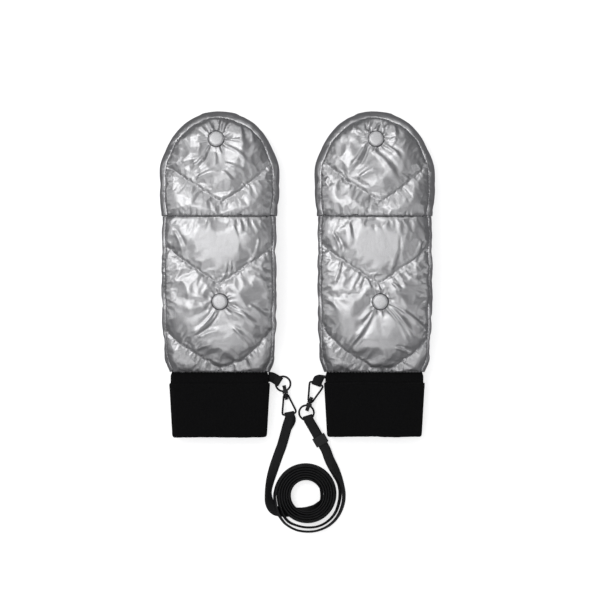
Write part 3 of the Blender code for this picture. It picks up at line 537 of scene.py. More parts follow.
def outlines(stations, capped, spacing):
    """Edge lines seen from above: one round a cap's dome, or one on each side of a tube."""
    right, left = side_outline(stations, 1), side_outline(stations, -1)
    if capped:
        return [resampled(np.concatenate([right, left[::-1]]), spacing)]
    return [resampled(right, spacing), resampled(left[::-1], spacing)]


def inward(line):
    """Unit directions square to a line that runs with the form on its left."""
    along = np.gradient(line, axis=0)
    along /= np.linalg.norm(along, axis=1)[:, None]
    return np.stack([-along[:, 1], along[:, 0]], axis=1)


def offset_line(line, distance, stations):
    moved = line + inward(line) * np.reshape(distance, (-1, 1))
    moved[:, 1] = np.clip(moved[:, 1], stations[0][0], stations[-1][0])
    moved[0, 1], moved[-1, 1] = line[0, 1], line[-1, 1]
    return moved


def seam_inset(line, capped):
    """How far in from the edge the side seam runs: it wanders a little."""
    arc = arc_length(line)
    (broad, broad_length), (fine, fine_length) = SWAY_WAVES
    sway = broad * np.sin(arc / broad_length + line[0, 0] * 40) + fine * np.sin(arc / fine_length + 1)
    return (CAP_SEAM_INSET if capped else HAND_SEAM_INSET) + SEAM_SWAY * sway


def lifted(points, stations, upper):
    """Points (x, y) put on the form's upper or lower face."""
    points = np.asarray(points)
    return np.column_stack([points, form_height(stations, points[:, 0], points[:, 1], upper)])


def inside(points, polygon):
    x, y = points[:, 0], points[:, 1]
    hit = np.zeros(len(points), bool)
    for (ax, ay), (bx, by) in zip(polygon, np.roll(polygon, -1, axis=0)):
        crosses = (ay > y) != (by > y)
        with np.errstate(divide="ignore", invalid="ignore"):
            hit ^= crosses & (x < (bx - ax) * (y - ay) / (by - ay) + ax)
    return hit


def nearest(points, line):
    """Distance of each point to a dense line, and the index of the nearest point on it."""
    distance = np.empty(len(points))
    index = np.empty(len(points), int)
    for start in range(0, len(points), 4000):
        gap = np.linalg.norm(points[start:start + 4000, None, :] - line[None, :, :], axis=2)
        index[start:start + 4000] = gap.argmin(axis=1)
        distance[start:start + 4000] = gap.min(axis=1)
    return distance, index


def pattern(polygon, lines, spacing, random):
    """Triangles over a flat pattern, with edges along its outline and its quilting lines."""
    fixed = [polygon] + lines
    row = spacing * math.sqrt(3) / 2
    low, high = polygon.min(axis=0), polygon.max(axis=0)
    loose = []
    for j, y in enumerate(np.arange(low[1], high[1], row)):
        xs = np.arange(low[0] + (j % 2) * spacing / 2, high[0], spacing)
        loose.append(np.column_stack([xs, np.full(len(xs), y)]))
    loose = np.concatenate(loose)
    loose += random.uniform(-SPACING_JITTER, SPACING_JITTER, loose.shape) * spacing
    loose = loose[inside(loose, polygon)]
    loose = loose[nearest(loose, np.concatenate(fixed))[0] > spacing * SEAM_CLEARANCE]
    points, edges = list(polygon), []
    for line in lines:
        start = len(points)
        points += list(line)
        edges += [(start + k, start + k + 1) for k in range(len(line) - 1)]
    points += list(loose)
    made = delaunay_2d_cdt([Vector(p) for p in points], edges, [list(range(len(polygon)))], 1, 1e-6)
    return np.array([tuple(p) for p in made[0]]), [tuple(f) for f in made[2]]


# ---------------------------------------------------------------- quilted panels

PLEAT_PITCH = 0.0021
PLEAT_HEIGHT = 0.00042
PLEAT_REACH = 0.0034
GATHER_PITCH = 0.0046
GATHER_HEIGHT = 0.00034
GATHER_REACH = 0.0095
SNAP_RADIUS = 0.0076
SNAP_FLAT = 0.0084
SNAP_PLEATS = 30
SNAP_PLEAT_HEIGHT = 0.00100
FOLD_SCALE = 0.72
SNAP_PLEAT_REACH = 0.0046
SNAP_REACH_KNOTS = 11
SNAP_EDGE_FADE = 0.0012
SEAM_FADE = 0.0010
EDGE_PLEAT_SCALE = 0.75
PEAK_SHARE = 0.3
SNAP_PEAK_SHARE = 0.35
MOST_WAVE = 1.8
SNAP_RISE = 0.010
SNAP_DIP = 0.0002
QUILT_LINE_STEP = 0.0008
HINGE_NEAR = 0.014
MERGE_DISTANCE = 0.00015
THREAD_REACH = 0.0004


def closed_pattern(edges, spacing):
    """A flat pattern's outline and its hems: one across a cap's mouth, or one at each end of a tube."""
    hems = [resampled([edge[-1], after[0]], spacing) for edge, after in zip(edges, edges[1:] + edges[:1])]
    return np.concatenate([line[:-1] for pair in zip(edges, hems) for line in pair]), hems


def back_panel(stations, capped, quilt_lines, random):
    """The upper panel's mesh, and its seams as dense 3-D lines: edges, then hems, then quilting."""
    edges = [offset_line(line, seam_inset(line, capped), stations)
             for line in outlines(stations, capped, BACK_SPACING)]
    polygon, hems = closed_pattern(edges, BACK_SPACING)
    kept = []
    for line in quilt_lines:
        fine = resampled(resampled(line, QUILT_LINE_STEP), BACK_SPACING * 0.9)
        fine = fine[inside(fine, polygon)]
        kept.append(fine[nearest(fine, polygon)[0] > BACK_SPACING * 0.5])
    points, faces = pattern(polygon, kept, BACK_SPACING, random)
    seams = [lifted(line, stations, True) for line in edges + hems + kept]
    return lifted(points, stations, True), faces, seams, len(edges), len(hems)


def palm_panel(stations, capped, random):
    """The side walls and the palm in one piece, from seam to seam round the underside."""
    points, faces, seams, inner_edges = [], [], [], []
    upper_rows, lower_rows = WALL_ROWS
    shares = list(np.linspace(1, 0, upper_rows)) + list(np.linspace(0, -1, lower_rows))[1:]
    for line in outlines(stations, capped, BACK_SPACING):
        inset = seam_inset(line, capped)
        rows = []
        for share in shares:
            reach = inset if share >= 0 else PALM_INSET
            row = offset_line(line, reach * share * share, stations)
            rows.append(lifted(row, stations, share >= 0))
        faces += renumbered(grid_faces(len(rows), len(line)), len(points))
        points += [p for row in rows for p in row]
        inner_edges.append(rows[-1][:, :2])
        seams.append(rows[0])
    polygon, hems = closed_pattern(inner_edges, PALM_SPACING)
    flat, flat_faces = pattern(polygon, [], PALM_SPACING, random)
    faces += renumbered([face[::-1] for face in flat_faces], len(points))
    points += list(lifted(flat, stations, False))
    hem_rows = [lifted(hem, stations, False) for hem in hems]
    return np.array(points), faces, seams + hem_rows, len(seams), len(hems)


def tongued(points, stations):
    """The cap's palm hem reaches further down than its back hem, over the hand part's palm."""
    half, low, high, _ = station_values(stations, points[:, 1])
    across = np.abs(points[:, 0]) / half
    edge = (TONGUE_EDGE[1] - across) / (TONGUE_EDGE[1] - TONGUE_EDGE[0])
    below = points[:, 2] < (low + high) / 2
    near_hem = 1 - smoothstep((points[:, 1] - stations[0][0]) / TONGUE_FADE)
    moved = points.copy()
    moved[:, 1] -= np.where(below, TONGUE_LENGTH * smoothstep(edge) * near_hem, 0)
    return moved


def merged_mesh(name, points, faces, finish):
    return outward(mesh_object(name, points, faces, finish), MERGE_DISTANCE)


def away_from(co, snap):
    """How far each point is from a snap's centre, seen from above."""
    return np.linalg.norm(co[:, :2] - np.array(snap), axis=1)


# A quilted panel as it is made. Its seams are its edges, then its hems, then its quilting.
Panel = namedtuple(
    "Panel",
    "obj seams edge_count hem_count random centre body replaced puff snap fold_list",
    defaults=(None, ()),
)


def seam_profile(panel):
    """Draw the panel in at its seams and raise it between them, before the simulation."""
    co, out = coordinates(panel.obj), normals(panel.obj)
    lift = np.full(len(co), panel.puff)
    for index, seam in enumerate(panel.seams):
        distance = nearest(co, seam)[0]
        depth, reach = SEAM_SINK, SEAM_REACH
        if index < panel.edge_count:
            depth, reach = EDGE_SINK, EDGE_REACH
        elif index < panel.edge_count + panel.hem_count:
            at_hinge = abs(seam[:, 1].mean() - HEM_Y) < HINGE_NEAR
            depth, reach = TOP_HEM_SINK if at_hinge else BOTTOM_HEM_SINK, HEM_REACH
        drawn_in = (panel.puff + depth) * np.exp(-(distance / reach) ** 0.9)
        lift = np.minimum(lift, panel.puff - drawn_in)
    if panel.snap is not None:
        share = smoothstep((away_from(co, panel.snap) - SNAP_FLAT) / SNAP_RISE)
        lift = lift * share - SNAP_DIP * (1 - share)
    near_cuff = smoothstep((co[:, 1] - HAND[0][0]) / CUFF_CLEARANCE)
    lift = np.maximum(lift, -BOTTOM_HEM_SINK - (SEAM_SINK - BOTTOM_HEM_SINK) * near_cuff)
    set_coordinates(panel.obj, co + out * lift[:, None])


def pins(panel):
    """Vertices that the thread and the snap hold still."""
    co = coordinates(panel.obj)
    shape = bmesh.new()
    shape.from_mesh(panel.obj.data)
    held = np.array([vert.is_boundary for vert in shape.verts])
    shape.free()
    for seam in panel.seams:
        held |= nearest(co, seam)[0] < THREAD_REACH
    if panel.snap is not None:
        held |= away_from(co, panel.snap) < SNAP_FLAT
    return held


SOFT_HOLD = 0.006
CLOTH_FRAMES = 20
MOST_MOVE = 0.0042


def add_cloth(obj, held):
    group = obj.vertex_groups.new(name="held")
    group.add([int(i) for i in np.nonzero(held)[0]], 1.0, "REPLACE")
    group.add([int(i) for i in np.nonzero(~held)[0]], SOFT_HOLD, "REPLACE")
    cloth = obj.modifiers.new("cloth", "CLOTH")
    settings = cloth.settings
    settings.quality = 6
    settings.mass = 0.2
    settings.tension_stiffness = 15
    settings.compression_stiffness = 15
    settings.shear_stiffness = 5
    settings.bending_stiffness = 2.0
    settings.use_pressure = True
    settings.uniform_pressure_force = 1.6
    settings.shrink_min = -0.020
    settings.vertex_group_mass = "held"
    settings.pin_stiffness = 1.0
    settings.effector_weights.gravity = 0
    cloth.collision_settings.use_collision = False
    cloth.point_cache.frame_start = 1
    cloth.point_cache.frame_end = CLOTH_FRAMES


def simulate(objects):
    """Run all the cloth at once, then keep each mesh with how far it may move capped."""
    scene = bpy.context.scene
    starts = [coordinates(obj) for obj in objects]
    for step in range(1, CLOTH_FRAMES + 1):
        scene.frame_set(step)
    graph = bpy.context.evaluated_depsgraph_get()
    for obj, start in zip(objects, starts):
        move = coordinates(obj.evaluated_get(graph)) - start
        length = np.linalg.norm(move, axis=1)
        capped = MOST_MOVE * np.tanh(length / MOST_MOVE)
        move *= (capped / np.maximum(length, 1e-9))[:, None]
        obj.modifiers.clear()
        obj.vertex_groups.clear()
        set_coordinates(obj, start + move)
    scene.frame_set(1)


def wander(random, count, at, pitch):
    """A random smooth signal along a line, read at distances given in metres."""
    knots = random.normal(0, 1, count)
    place = (at / pitch) % count
    i = place.astype(int) % count
    t = place - place.astype(int)
    t = smoothstep(t)
    return knots[i] * (1 - t) + knots[(i + 1) % count] * t


def swell(distance, peak):
    """A rise that starts at nothing, is highest at its peak distance and then dies away."""
    return distance / peak * np.exp(1 - distance / peak)


def gathers(co, seam, random, pitch, height, reach):
    """Little pleats square to a seam, fading away from it."""
    distance, index = nearest(co, seam)
    arc = arc_length(seam)[index]
    ahead = seam[np.minimum(index + 1, len(seam) - 1)] - seam[np.maximum(index - 1, 0)]
    side = np.sign(ahead[:, 0] * (co[:, 1] - seam[index, 1]) - ahead[:, 1] * (co[:, 0] - seam[index, 0]))
    count = int(arc.max() / pitch) + 8
    left, right = wander(random, count, arc, pitch), wander(random, count, arc, pitch)
    length = reach * (0.7 + 0.45 * np.abs(wander(random, count, arc, pitch * 2.2)))
    wave = np.where(side > 0, left, right)
    return np.clip(wave, -MOST_WAVE, MOST_WAVE) * height * swell(distance, PEAK_SHARE * length)


def radial_pleats(co, snap, random):
    """Short pleats all round a snap."""
    offset = co[:, :2] - np.array(snap)
    away = np.linalg.norm(offset, axis=1)
    turn = (np.arctan2(offset[:, 1], offset[:, 0]) / math.tau) % 1
    wave = wander(random, SNAP_PLEATS, turn * SNAP_PLEATS, 1.0)
    uneven = np.abs(wander(random, SNAP_REACH_KNOTS, turn * SNAP_REACH_KNOTS, 1.0))
    reach = SNAP_PLEAT_REACH * (0.8 + 0.5 * uneven)
    return wave * SNAP_PLEAT_HEIGHT * swell(np.maximum(away - SNAP_RADIUS, 0), SNAP_PEAK_SHARE * reach)


def folds(co, list_of_folds):
    """Long soft ridges with a trough beside each."""
    lift = np.zeros(len(co))
    for ax, ay, bx, by, height, width in list_of_folds:
        along = np.array([bx - ax, by - ay])
        length = np.linalg.norm(along)
        along /= length
        across = np.array([-along[1], along[0]])
        offset = co[:, :2] - np.array([ax, ay])
        t = offset @ along / length
        bow = 0.06 * length * (1 - (2 * t - 1) ** 2)
        d = (offset @ across - bow) / (width * (0.55 + 0.75 * np.clip(t, 0, 1)))
        fade = smoothstep(t / 0.18 + 0.25) * smoothstep((1 - t) / 0.35 + 0.1)
        lift += FOLD_SCALE * height * fade * (np.exp(-d * d) - 0.62 * np.exp(-(d - 1.75) ** 2))
    return lift


def relief(panel):
    """Gathers along every seam, pleats round the snap and long folds, on the simulated panel."""
    co, out = coordinates(panel.obj), normals(panel.obj)
    lift = np.zeros(len(co))
    for index, seam in enumerate(panel.seams):
        scale = EDGE_PLEAT_SCALE if index < panel.edge_count else 1.0
        lift += gathers(co, seam, panel.random, PLEAT_PITCH, PLEAT_HEIGHT * scale, PLEAT_REACH)
        lift += gathers(co, seam, panel.random, GATHER_PITCH, GATHER_HEIGHT * scale, GATHER_REACH)
    lift += folds(co, panel.fold_list)
    if panel.snap is not None:
        lift += radial_pleats(co, panel.snap, panel.random)
        lift *= smoothstep((away_from(co, panel.snap) - SNAP_RADIUS) / SNAP_EDGE_FADE)
    to_seam = np.min([nearest(co, seam)[0] for seam in panel.seams], axis=0)
    lift *= smoothstep(to_seam / SEAM_FADE)
    moved = co + out * lift[:, None]
    ceiling = np.where(co[:, 1] > HEM_Y, CAP_TOP_LIMIT, HAND_TOP_LIMIT) - TOP_EASE
    over = moved[:, 2] - ceiling
    moved[:, 2] = np.where(over > 0, ceiling + TOP_EASE * np.tanh(over / TOP_EASE), moved[:, 2])
    set_coordinates(panel.obj, moved)


def finish_panel(obj, thickness=0.0005):
    wall = obj.modifiers.new("thickness", "SOLIDIFY")
    wall.thickness = thickness
    wall.offset = -1
    apply_modifiers(obj)
    obj.data.polygons.foreach_set("use_smooth", [True] * len(obj.data.polygons))


def subdivide(obj):
    finer = obj.modifiers.new("finer", "SUBSURF")
    finer.levels = finer.render_levels = 1
    apply_modifiers(obj)


STITCH_PITCH = 0.0032
STITCH_LENGTH = 0.0021
STITCH_RADIUS = 0.00026
# A stitch's outline, as (share of its length, share of its radius).
STITCH_SHAPE = ((-0.5, 0.35), (-0.38, 0.9), (0.0, 1.0), (0.38, 0.9), (0.5, 0.35))


def stitching(name, lines, finish):
    """Short stitches of thread along 3-D lines."""
    points, faces = [], []
    sides = 6
    stitch_faces = grid_faces(len(STITCH_SHAPE), sides, wrap_columns=True)
    stitch_faces += [face[::-1] for face in end_faces(len(STITCH_SHAPE), sides)]
    for line in lines:
        dense = resampled(line, STITCH_PITCH / 2)
        for k in range(1, len(dense) - 1, 2):
            along = Vector(dense[k + 1] - dense[k - 1]).normalized()
            across = along.cross(UP).normalized()
            lift = across.cross(along)
            faces += renumbered(stitch_faces, len(points))
            for share, size in STITCH_SHAPE:
                place = Vector(dense[k]) + along * STITCH_LENGTH * share
                place += lift * STITCH_RADIUS * (size - 0.2)
                points += [place + across * a + lift * b for a, b in circle(sides, STITCH_RADIUS * size)]
    return solid(name, points, faces, finish)


def cut_panels(finish):
    """The silver panels' flat patterns, laid on the form. A mitten's part shares one random generator."""
    panels = []
    for number, (label, side) in enumerate(SIDES.items()):
        for part, (stations, capped) in PARTS.items():
            random = np.random.default_rng(11 + number * 7 + len(part))
            centre = side * MITTEN_X
            low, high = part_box(f"{label}_{part}_snap_cover")
            snap = ((low.x + high.x) / 2 - centre, (low.y + high.y) / 2)
            prefix = prefix_of(label, part)
            on = (random, centre, body_of(label, part))
            points, faces, *seams = back_panel(stations, capped, QUILT_LINES[label][part], random)
            back = merged_mesh(f"{prefix}back_quilt", points, faces, finish)
            panels.append(Panel(back, *seams, *on, (f"{prefix}back_shell", f"{prefix}padding"), PUFF_RISE,
                                snap, FOLDS[label][part]))
            points, faces, seams, *counts = palm_panel(stations, capped, random)
            if capped:
                points, seams = tongued(points, stations), [tongued(s, stations) for s in seams]
            palm = merged_mesh(f"{prefix}palm_quilt", points, faces, finish)
            panels.append(Panel(palm, seams, *counts, *on, (f"{prefix}palm_shell",), PALM_PUFF_RISE))
    return panels


def make_quilts(finishes):
    """All the silver panels: patterns, one cloth simulation for all, then their fine relief."""
    panels = cut_panels(finishes["silver_fabric"])
    for panel in panels:
        face_up(panel.obj)
        held = pins(panel)
        before = coordinates(panel.obj)
        seam_profile(panel)
        sunk = coordinates(panel.obj)
        panel.seams[:] = [sunk[nearest(seam, before)[1]] for seam in panel.seams]
        add_cloth(panel.obj, held)
    simulate([panel.obj for panel in panels])
    for panel in panels:
        subdivide(panel.obj)
        relief(panel)
        finish_panel(panel.obj)
        panel.obj.data.transform(Matrix.Translation((panel.centre, 0, 0)))
        placed(panel.obj, panel.body, "silver_fabric", *panel.replaced)
    for panel in panels:
        if panel.snap is not None:
            lines = [seam + np.array([panel.centre, 0, 0]) for seam in panel.seams]
            name = panel.obj.name.replace("quilt", "stitching")
            placed(stitching(name, lines, finishes["thread"]), panel.body, "silver_fabric")


def face_up(obj):
    """Turn the panel's faces out of the form: up on a back, down on the low part of a palm."""
    co, out = coordinates(obj), normals(obj)
    if "back" in obj.name:
        wrong = out[:, 2].mean() < 0
    else:
        wrong = out[co[:, 2] < co[:, 2].mean() - 0.004, 2].mean() > 0
    if wrong:
        obj.data.flip_normals()


# ---------------------------------------------------------------- knitted cuffs and sleeves, linings, thumbs

CUFF_HEIGHT = 0.026
CUFF_TOP = (-0.1075, 0.0505)
CUFF_END = (-0.1600, 0.0475)
CUFF_SQUARENESS = 5.0
CUFF_ROUNDING = 0.94
CUFF_SWAY = 0.0007
# The wall's section, as (depth under the outer face, y): down inside the fold, out along it and back in.
CUFF_WALL = (
    (0.0034, -0.0900), (0.0034, -0.0945), (0.0026, -0.0975), (0.0014, -0.1010), (0.0014, -0.1072),
    (0.0014, -0.1086), (0.0004, -0.1080), (0.0000, -0.1090), (-0.0001, -0.1120),
    *((0.0000, -0.1160 - 0.0040 * k) for k in range(11)),
    (0.0000, -0.1595), (0.0005, -0.1612), (0.0016, -0.1620), (0.0030, -0.1619), (0.0042, -0.1611),
    (0.0047, -0.1595), (0.0047, -0.1500), (0.0047, -0.1350), (0.0047, -0.1200), (0.0047, -0.1050),
    (0.0047, -0.0900),
)
RIB_PITCH = 0.00145
RIB_HEIGHT = 0.00036
RIB_SHAPE = (0.0, 0.72, 1.0, 0.72, 0.0)
SLEEVE = (
    (0.0500, 0.0492, 0.0193, 0.0412, 2.6),
    (0.0600, 0.0486, 0.0193, 0.0408, 2.6),
    (0.0770, 0.0465, 0.0200, 0.0386, 2.6),
)
SLEEVE_WALL = 0.0016
SLEEVE_RIBS = 150
SLEEVE_ENDS = (0.0500, 0.0770)
SLEEVE_SLANT = 0.007
LINING_DEPTHS = (0.0054, 0.0064)
LINING_HEM_DEPTH = 0.0008
LINING_HEM_GAP = 0.0006
LINING_HEM_REACH = 0.012
LINING_NARROWER = 0.985
DOME_START_Y = 0.100
DOME_POWER = 2.5
THUMB_X = 0.018
THUMB_ROWS = 60
THUMB_COLUMNS = 72
THUMB_PLEATS = 24
THUMB_PLEAT_HEIGHT = 0.00035
THUMB = (
    (-0.0622, 0.0030, 0.0050, 0.0075, 2.2),
    (-0.0600, 0.0095, 0.0022, 0.0100, 2.3),
    (-0.0560, 0.0135, 0.0010, 0.0120, 2.4),
    (-0.0480, 0.0162, 0.0003, 0.0136, 2.5),
    (-0.0200, 0.0168, 0.0003, 0.0138, 2.6),
    (0.0050, 0.0158, 0.0003, 0.0133, 2.6),
    (0.0180, 0.0124, 0.0010, 0.0114, 2.4),
    (0.0225, 0.0080, 0.0024, 0.0094, 2.2),
    (0.0240, 0.0030, 0.0046, 0.0072, 2.2),
)


def even_ring(half, low, high, square, count):
    """Points evenly spaced round a superellipse, and their outward directions, as (x, z) rows."""
    turn = np.linspace(0, math.tau, 721)
    power = 2 / square
    c, s = np.cos(turn), np.sin(turn)
    x = half * np.sign(c) * np.abs(c) ** power
    z = (low + high) / 2 + (high - low) / 2 * np.sign(s) * np.abs(s) ** power
    arc = np.concatenate([[0], np.cumsum(np.hypot(np.diff(x), np.diff(z)))])
    at = np.linspace(0, arc[-1], count, endpoint=False)
    ring = np.stack([np.interp(at, arc, x), np.interp(at, arc, z)], axis=1)
    along = np.roll(ring, -1, axis=0) - np.roll(ring, 1, axis=0)
    out = np.stack([along[:, 1], -along[:, 0]], axis=1)
    return ring, out / np.linalg.norm(out, axis=1)[:, None]


def ring_row(ring, centre, y):
    """A ring of (x, z) points, set round a mitten's centre line at y."""
    return np.column_stack([ring[:, 0] + centre, np.zeros(len(ring)) + y, ring[:, 1]])


def section(stations, y):
    """The form's half width, low z, high z and squareness at one y."""
    return [float(v) for v in station_values(stations, y)]


def knit_tube(name, rows, finish, replaced):
    faces = grid_faces(len(rows), len(rows[0]), wrap_rows=True, wrap_columns=True)
    placed(solid(name, np.concatenate(rows), faces, finish), "root", "black_knit", replaced)


def make_cuff(label, centre, finish):
    """One ribbed tube, turned up on itself: its wall's section is carried round the wrist."""
    random = np.random.default_rng(5 if label == "left" else 6)
    ribs = int(4 * (CUFF_TOP[1] + CUFF_HEIGHT / 2) * CUFF_ROUNDING / RIB_PITCH)
    rib = np.tile(RIB_SHAPE, ribs)
    sway = np.cumsum(random.normal(0, 1, len(rib)))
    sway -= np.linspace(sway[0], sway[-1], len(rib))
    sway /= np.abs(sway).max()
    rows = []
    for depth, y in CUFF_WALL:
        share = (CUFF_TOP[0] - y) / (CUFF_TOP[0] - CUFF_END[0])
        half = CUFF_TOP[1] + (CUFF_END[1] - CUFF_TOP[1]) * min(1, max(0, share)) - depth
        ring, out = even_ring(half, depth, CUFF_HEIGHT - depth, CUFF_SQUARENESS, len(rib))
        inner = depth > 0.004
        ring = ring + out * ((rib - 1) * RIB_HEIGHT * (-0.5 if inner else 1))[:, None]
        at_edge = -0.1100 < y < -0.1065 or y < -0.158
        rows.append(ring_row(ring, centre, y + CUFF_SWAY * sway * at_edge))
    knit_tube(f"{label}_cuff", rows, finish, f"{label}_rib_cuff")


def make_sleeve(label, centre, finish):
    """The knitted sleeve round the fingers, inside the cap: out along its outer face and back."""
    rib = np.tile(RIB_SHAPE, SLEEVE_RIBS)
    rows = []
    for depth, (start, end) in ((0.0, SLEEVE_ENDS), (SLEEVE_WALL, SLEEVE_ENDS[::-1])):
        for y in np.linspace(start, end, 8):
            half, low, high, square = section(SLEEVE, y)
            ring, out = even_ring(half - depth, low + depth, high - depth, square, len(rib))
            ring = ring + out * ((rib - 1) * RIB_HEIGHT)[:, None]
            height = (ring[:, 1] - (low + high) / 2) / ((high - low) / 2)
            free = smoothstep((y - SLEEVE_ENDS[0]) / (SLEEVE_ENDS[1] - SLEEVE_ENDS[0]))
            rows.append(ring_row(ring, centre, y + SLEEVE_SLANT * height * free))
    knit_tube(f"{label}_sleeve_knit", rows, finish, f"{label}_finger_sleeve")


def lining_rows(stations, depth, capped):
    """Rings of the form moved in by a depth that grows from almost nothing at each open hem."""
    first, last = stations[0][0], stations[-1][0]
    end = stations[-2][0] if capped else last - LINING_HEM_GAP
    rows = []
    for y in np.linspace(first + LINING_HEM_GAP, end, 44):
        lean = 0.0
        near_hem = smoothstep((y - first) / LINING_HEM_REACH)
        if capped:
            reach = (y - DOME_START_Y) / (last - DOME_START_Y)
            lean = math.radians(90) * max(0.0, reach) ** DOME_POWER
        else:
            near_hem *= smoothstep((last - y) / LINING_HEM_REACH)
        here = LINING_HEM_DEPTH + (depth - LINING_HEM_DEPTH) * near_hem
        half, low, high, square = section(stations, y)
        side = here * math.cos(lean)
        ring, _ = even_ring(max(half - side, 0.001), low + side, high - side, square, 96)
        points = ring_row(ring, 0.0, y - here * math.sin(lean))
        rows.append(tongued(points, stations) if capped else points)
    return rows


def make_lining(label, part, centre, finish):
    """The lining, turned out to the shell at its hems."""
    stations, capped = PARTS[part]
    outer, inner = (lining_rows(stations, depth, capped) for depth in LINING_DEPTHS)
    rows = outer[::-1] + [row * np.array([LINING_NARROWER, 1, 1]) for row in inner]
    count = len(rows[0])
    faces = grid_faces(len(rows), count, wrap_rows=not capped, wrap_columns=True)
    if capped:
        faces += end_faces(len(rows), count)
    prefix = prefix_of(label, part)
    points = np.concatenate(rows) + np.array([centre, 0, 0])
    placed(solid(f"{prefix}fleece", points, faces, finish), body_of(label, part), "lining", f"{prefix}lining")


def make_thumb(label, side, finish):
    """A gathered pouch under the palm."""
    random = np.random.default_rng(21 if side < 0 else 22)
    sway = random.normal(0, 1, (40, THUMB_PLEATS))
    rows, last = [], THUMB_ROWS - 1
    for i, y in enumerate(np.linspace(THUMB[0][0], THUMB[-1][0], THUMB_ROWS)):
        ring, out = even_ring(*section(THUMB, y), THUMB_COLUMNS)
        end = min(i, last - i) / 8
        wave = np.interp(np.arange(THUMB_COLUMNS), np.linspace(0, THUMB_COLUMNS, THUMB_PLEATS), sway[i // 3])
        pleat = THUMB_PLEAT_HEIGHT * wave * math.exp(-abs(end - 0.7)) * (0 < i < last)
        ring = ring + out * np.minimum(pleat, 0.0)[:, None]
        ring[:, 0] *= -side
        rows.append(ring_row(ring, side * (MITTEN_X - THUMB_X), y))
    faces = grid_faces(THUMB_ROWS, THUMB_COLUMNS, wrap_columns=True) + end_faces(THUMB_ROWS, THUMB_COLUMNS)
    thumb = solid(f"{label}_thumb", np.concatenate(rows), faces, finish)
    placed(thumb, "root", "silver_fabric", f"{label}_thumb_shell", f"{label}_thumb_lining")


HINGE_HALF_WIDTH = 0.043
HINGE_DEPTH = 0.0017
HINGE_RIPPLE = 0.00018
# The strip's section, as (y from the hem, height).
HINGE_PROFILE = ((-0.0042, 0.0), (-0.0022, 0.0002), (-0.0010, -0.0003), (-0.0004, -0.0008), (0.0, -0.0012),
                 (0.0004, -0.0008), (0.0010, -0.0003), (0.0022, 0.0002), (0.0042, 0.0))


def make_hinge_fabric(label, centre, finish):
    """The strip that joins the cap to the hand part, tucked into the seam between them."""
    random = np.random.default_rng(31 if label == "left" else 32)
    xs = np.linspace(-HINGE_HALF_WIDTH, HINGE_HALF_WIDTH, 120)
    knots = np.linspace(-HINGE_HALF_WIDTH, HINGE_HALF_WIDTH, 40)
    ripple = np.interp(xs, knots, random.normal(0, HINGE_RIPPLE, len(knots)))
    rows = []
    for offset, height in HINGE_PROFILE:
        y = np.full(len(xs), HEM_Y + offset)
        stations = HAND if offset < 0 else CAP
        at = np.minimum(y, HAND[-1][0]) if offset < 0 else np.maximum(y, CAP[0][0])
        z = form_height(stations, xs, at, True) - HINGE_DEPTH + height + ripple
        rows.append(np.column_stack([xs + centre, y, z]))
    faces = grid_faces(len(rows), len(xs))
    strip = mesh_object(f"{label}_hinge_fabric", np.concatenate(rows), faces, finish)
    finish_panel(strip, 0.0006)
    outward(strip)
    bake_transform(strip)


# ---------------------------------------------------------------- snaps

# Each snap's y, z and tilt; its x is the CAD cover's.
SNAP_CENTRES = {"hand": (-0.0267, 0.0478, 0.0), "cap": (0.1350, 0.0411, -10.6)}
# Sections of the disc and the rim round it, as (radius, height) in millimetres.
COVER_PROFILE = ((0, 2.62), (3.0, 2.61), (5.4, 2.56), (6.1, 2.46), (6.6, 2.18), (7.1, 1.72), (7.4, 1.25),
                 (7.5, 0.8), (7.5, 0.35), (7.0, 0.3), (6.7, 0.8), (6.4, 1.6), (5.8, 1.95), (0, 2.0))
RIM_PROFILE = ((6.75, 0.25), (6.75, 0.5), (7.6, 0.62), (8.2, 0.55), (8.45, 0.3), (8.35, 0.02), (7.6, -0.1),
               (6.75, 0.0))
SNAP_SIDES = 64


def turned(profile, frame_here, sides, scale=1.0, wrap=False):
    """A profile of (radius, height) carried round Z, as points and faces; radius 0 makes a pole."""
    points, faces, rings = [], [], []
    for radius, height in profile:
        ring = circle(sides, radius * scale) if radius else [(0, 0)]
        rings.append(range(len(points), len(points) + len(ring)))
        points += [frame_here @ Vector((x, y, height * scale)) for x, y in ring]
    for upper, lower in zip(rings, rings[1:] + rings[:1] if wrap else rings[1:]):
        for s in range(sides):
            corners = [upper[s % len(upper)], upper[(s + 1) % len(upper)],
                       lower[(s + 1) % len(lower)], lower[s % len(lower)]]
            faces.append(tuple(dict.fromkeys(corners)))
    return points, faces


def make_snap(label, part, finishes):
    low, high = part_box(f"{label}_{part}_snap_cover")
    y, z, tilt = SNAP_CENTRES[part]
    here = Matrix.Translation(((low.x + high.x) / 2, y, z)) @ Matrix.Rotation(math.radians(tilt), 4, "X")
    name = f"{label}_{part}_snap"
    disc = turned(COVER_PROFILE, here, SNAP_SIDES, MM)
    rim = turned(RIM_PROFILE, here, SNAP_SIDES, MM, wrap=True)
    body = body_of(label, part)
    placed(solid(f"{name}_disc", *disc, finishes["silver_metal"]), body, "silver_metal", f"{name}_cover")
    placed(solid(f"{name}_rim", *rim, finishes["dark_rim"]), body, "steel")


# ---------------------------------------------------------------- webbing

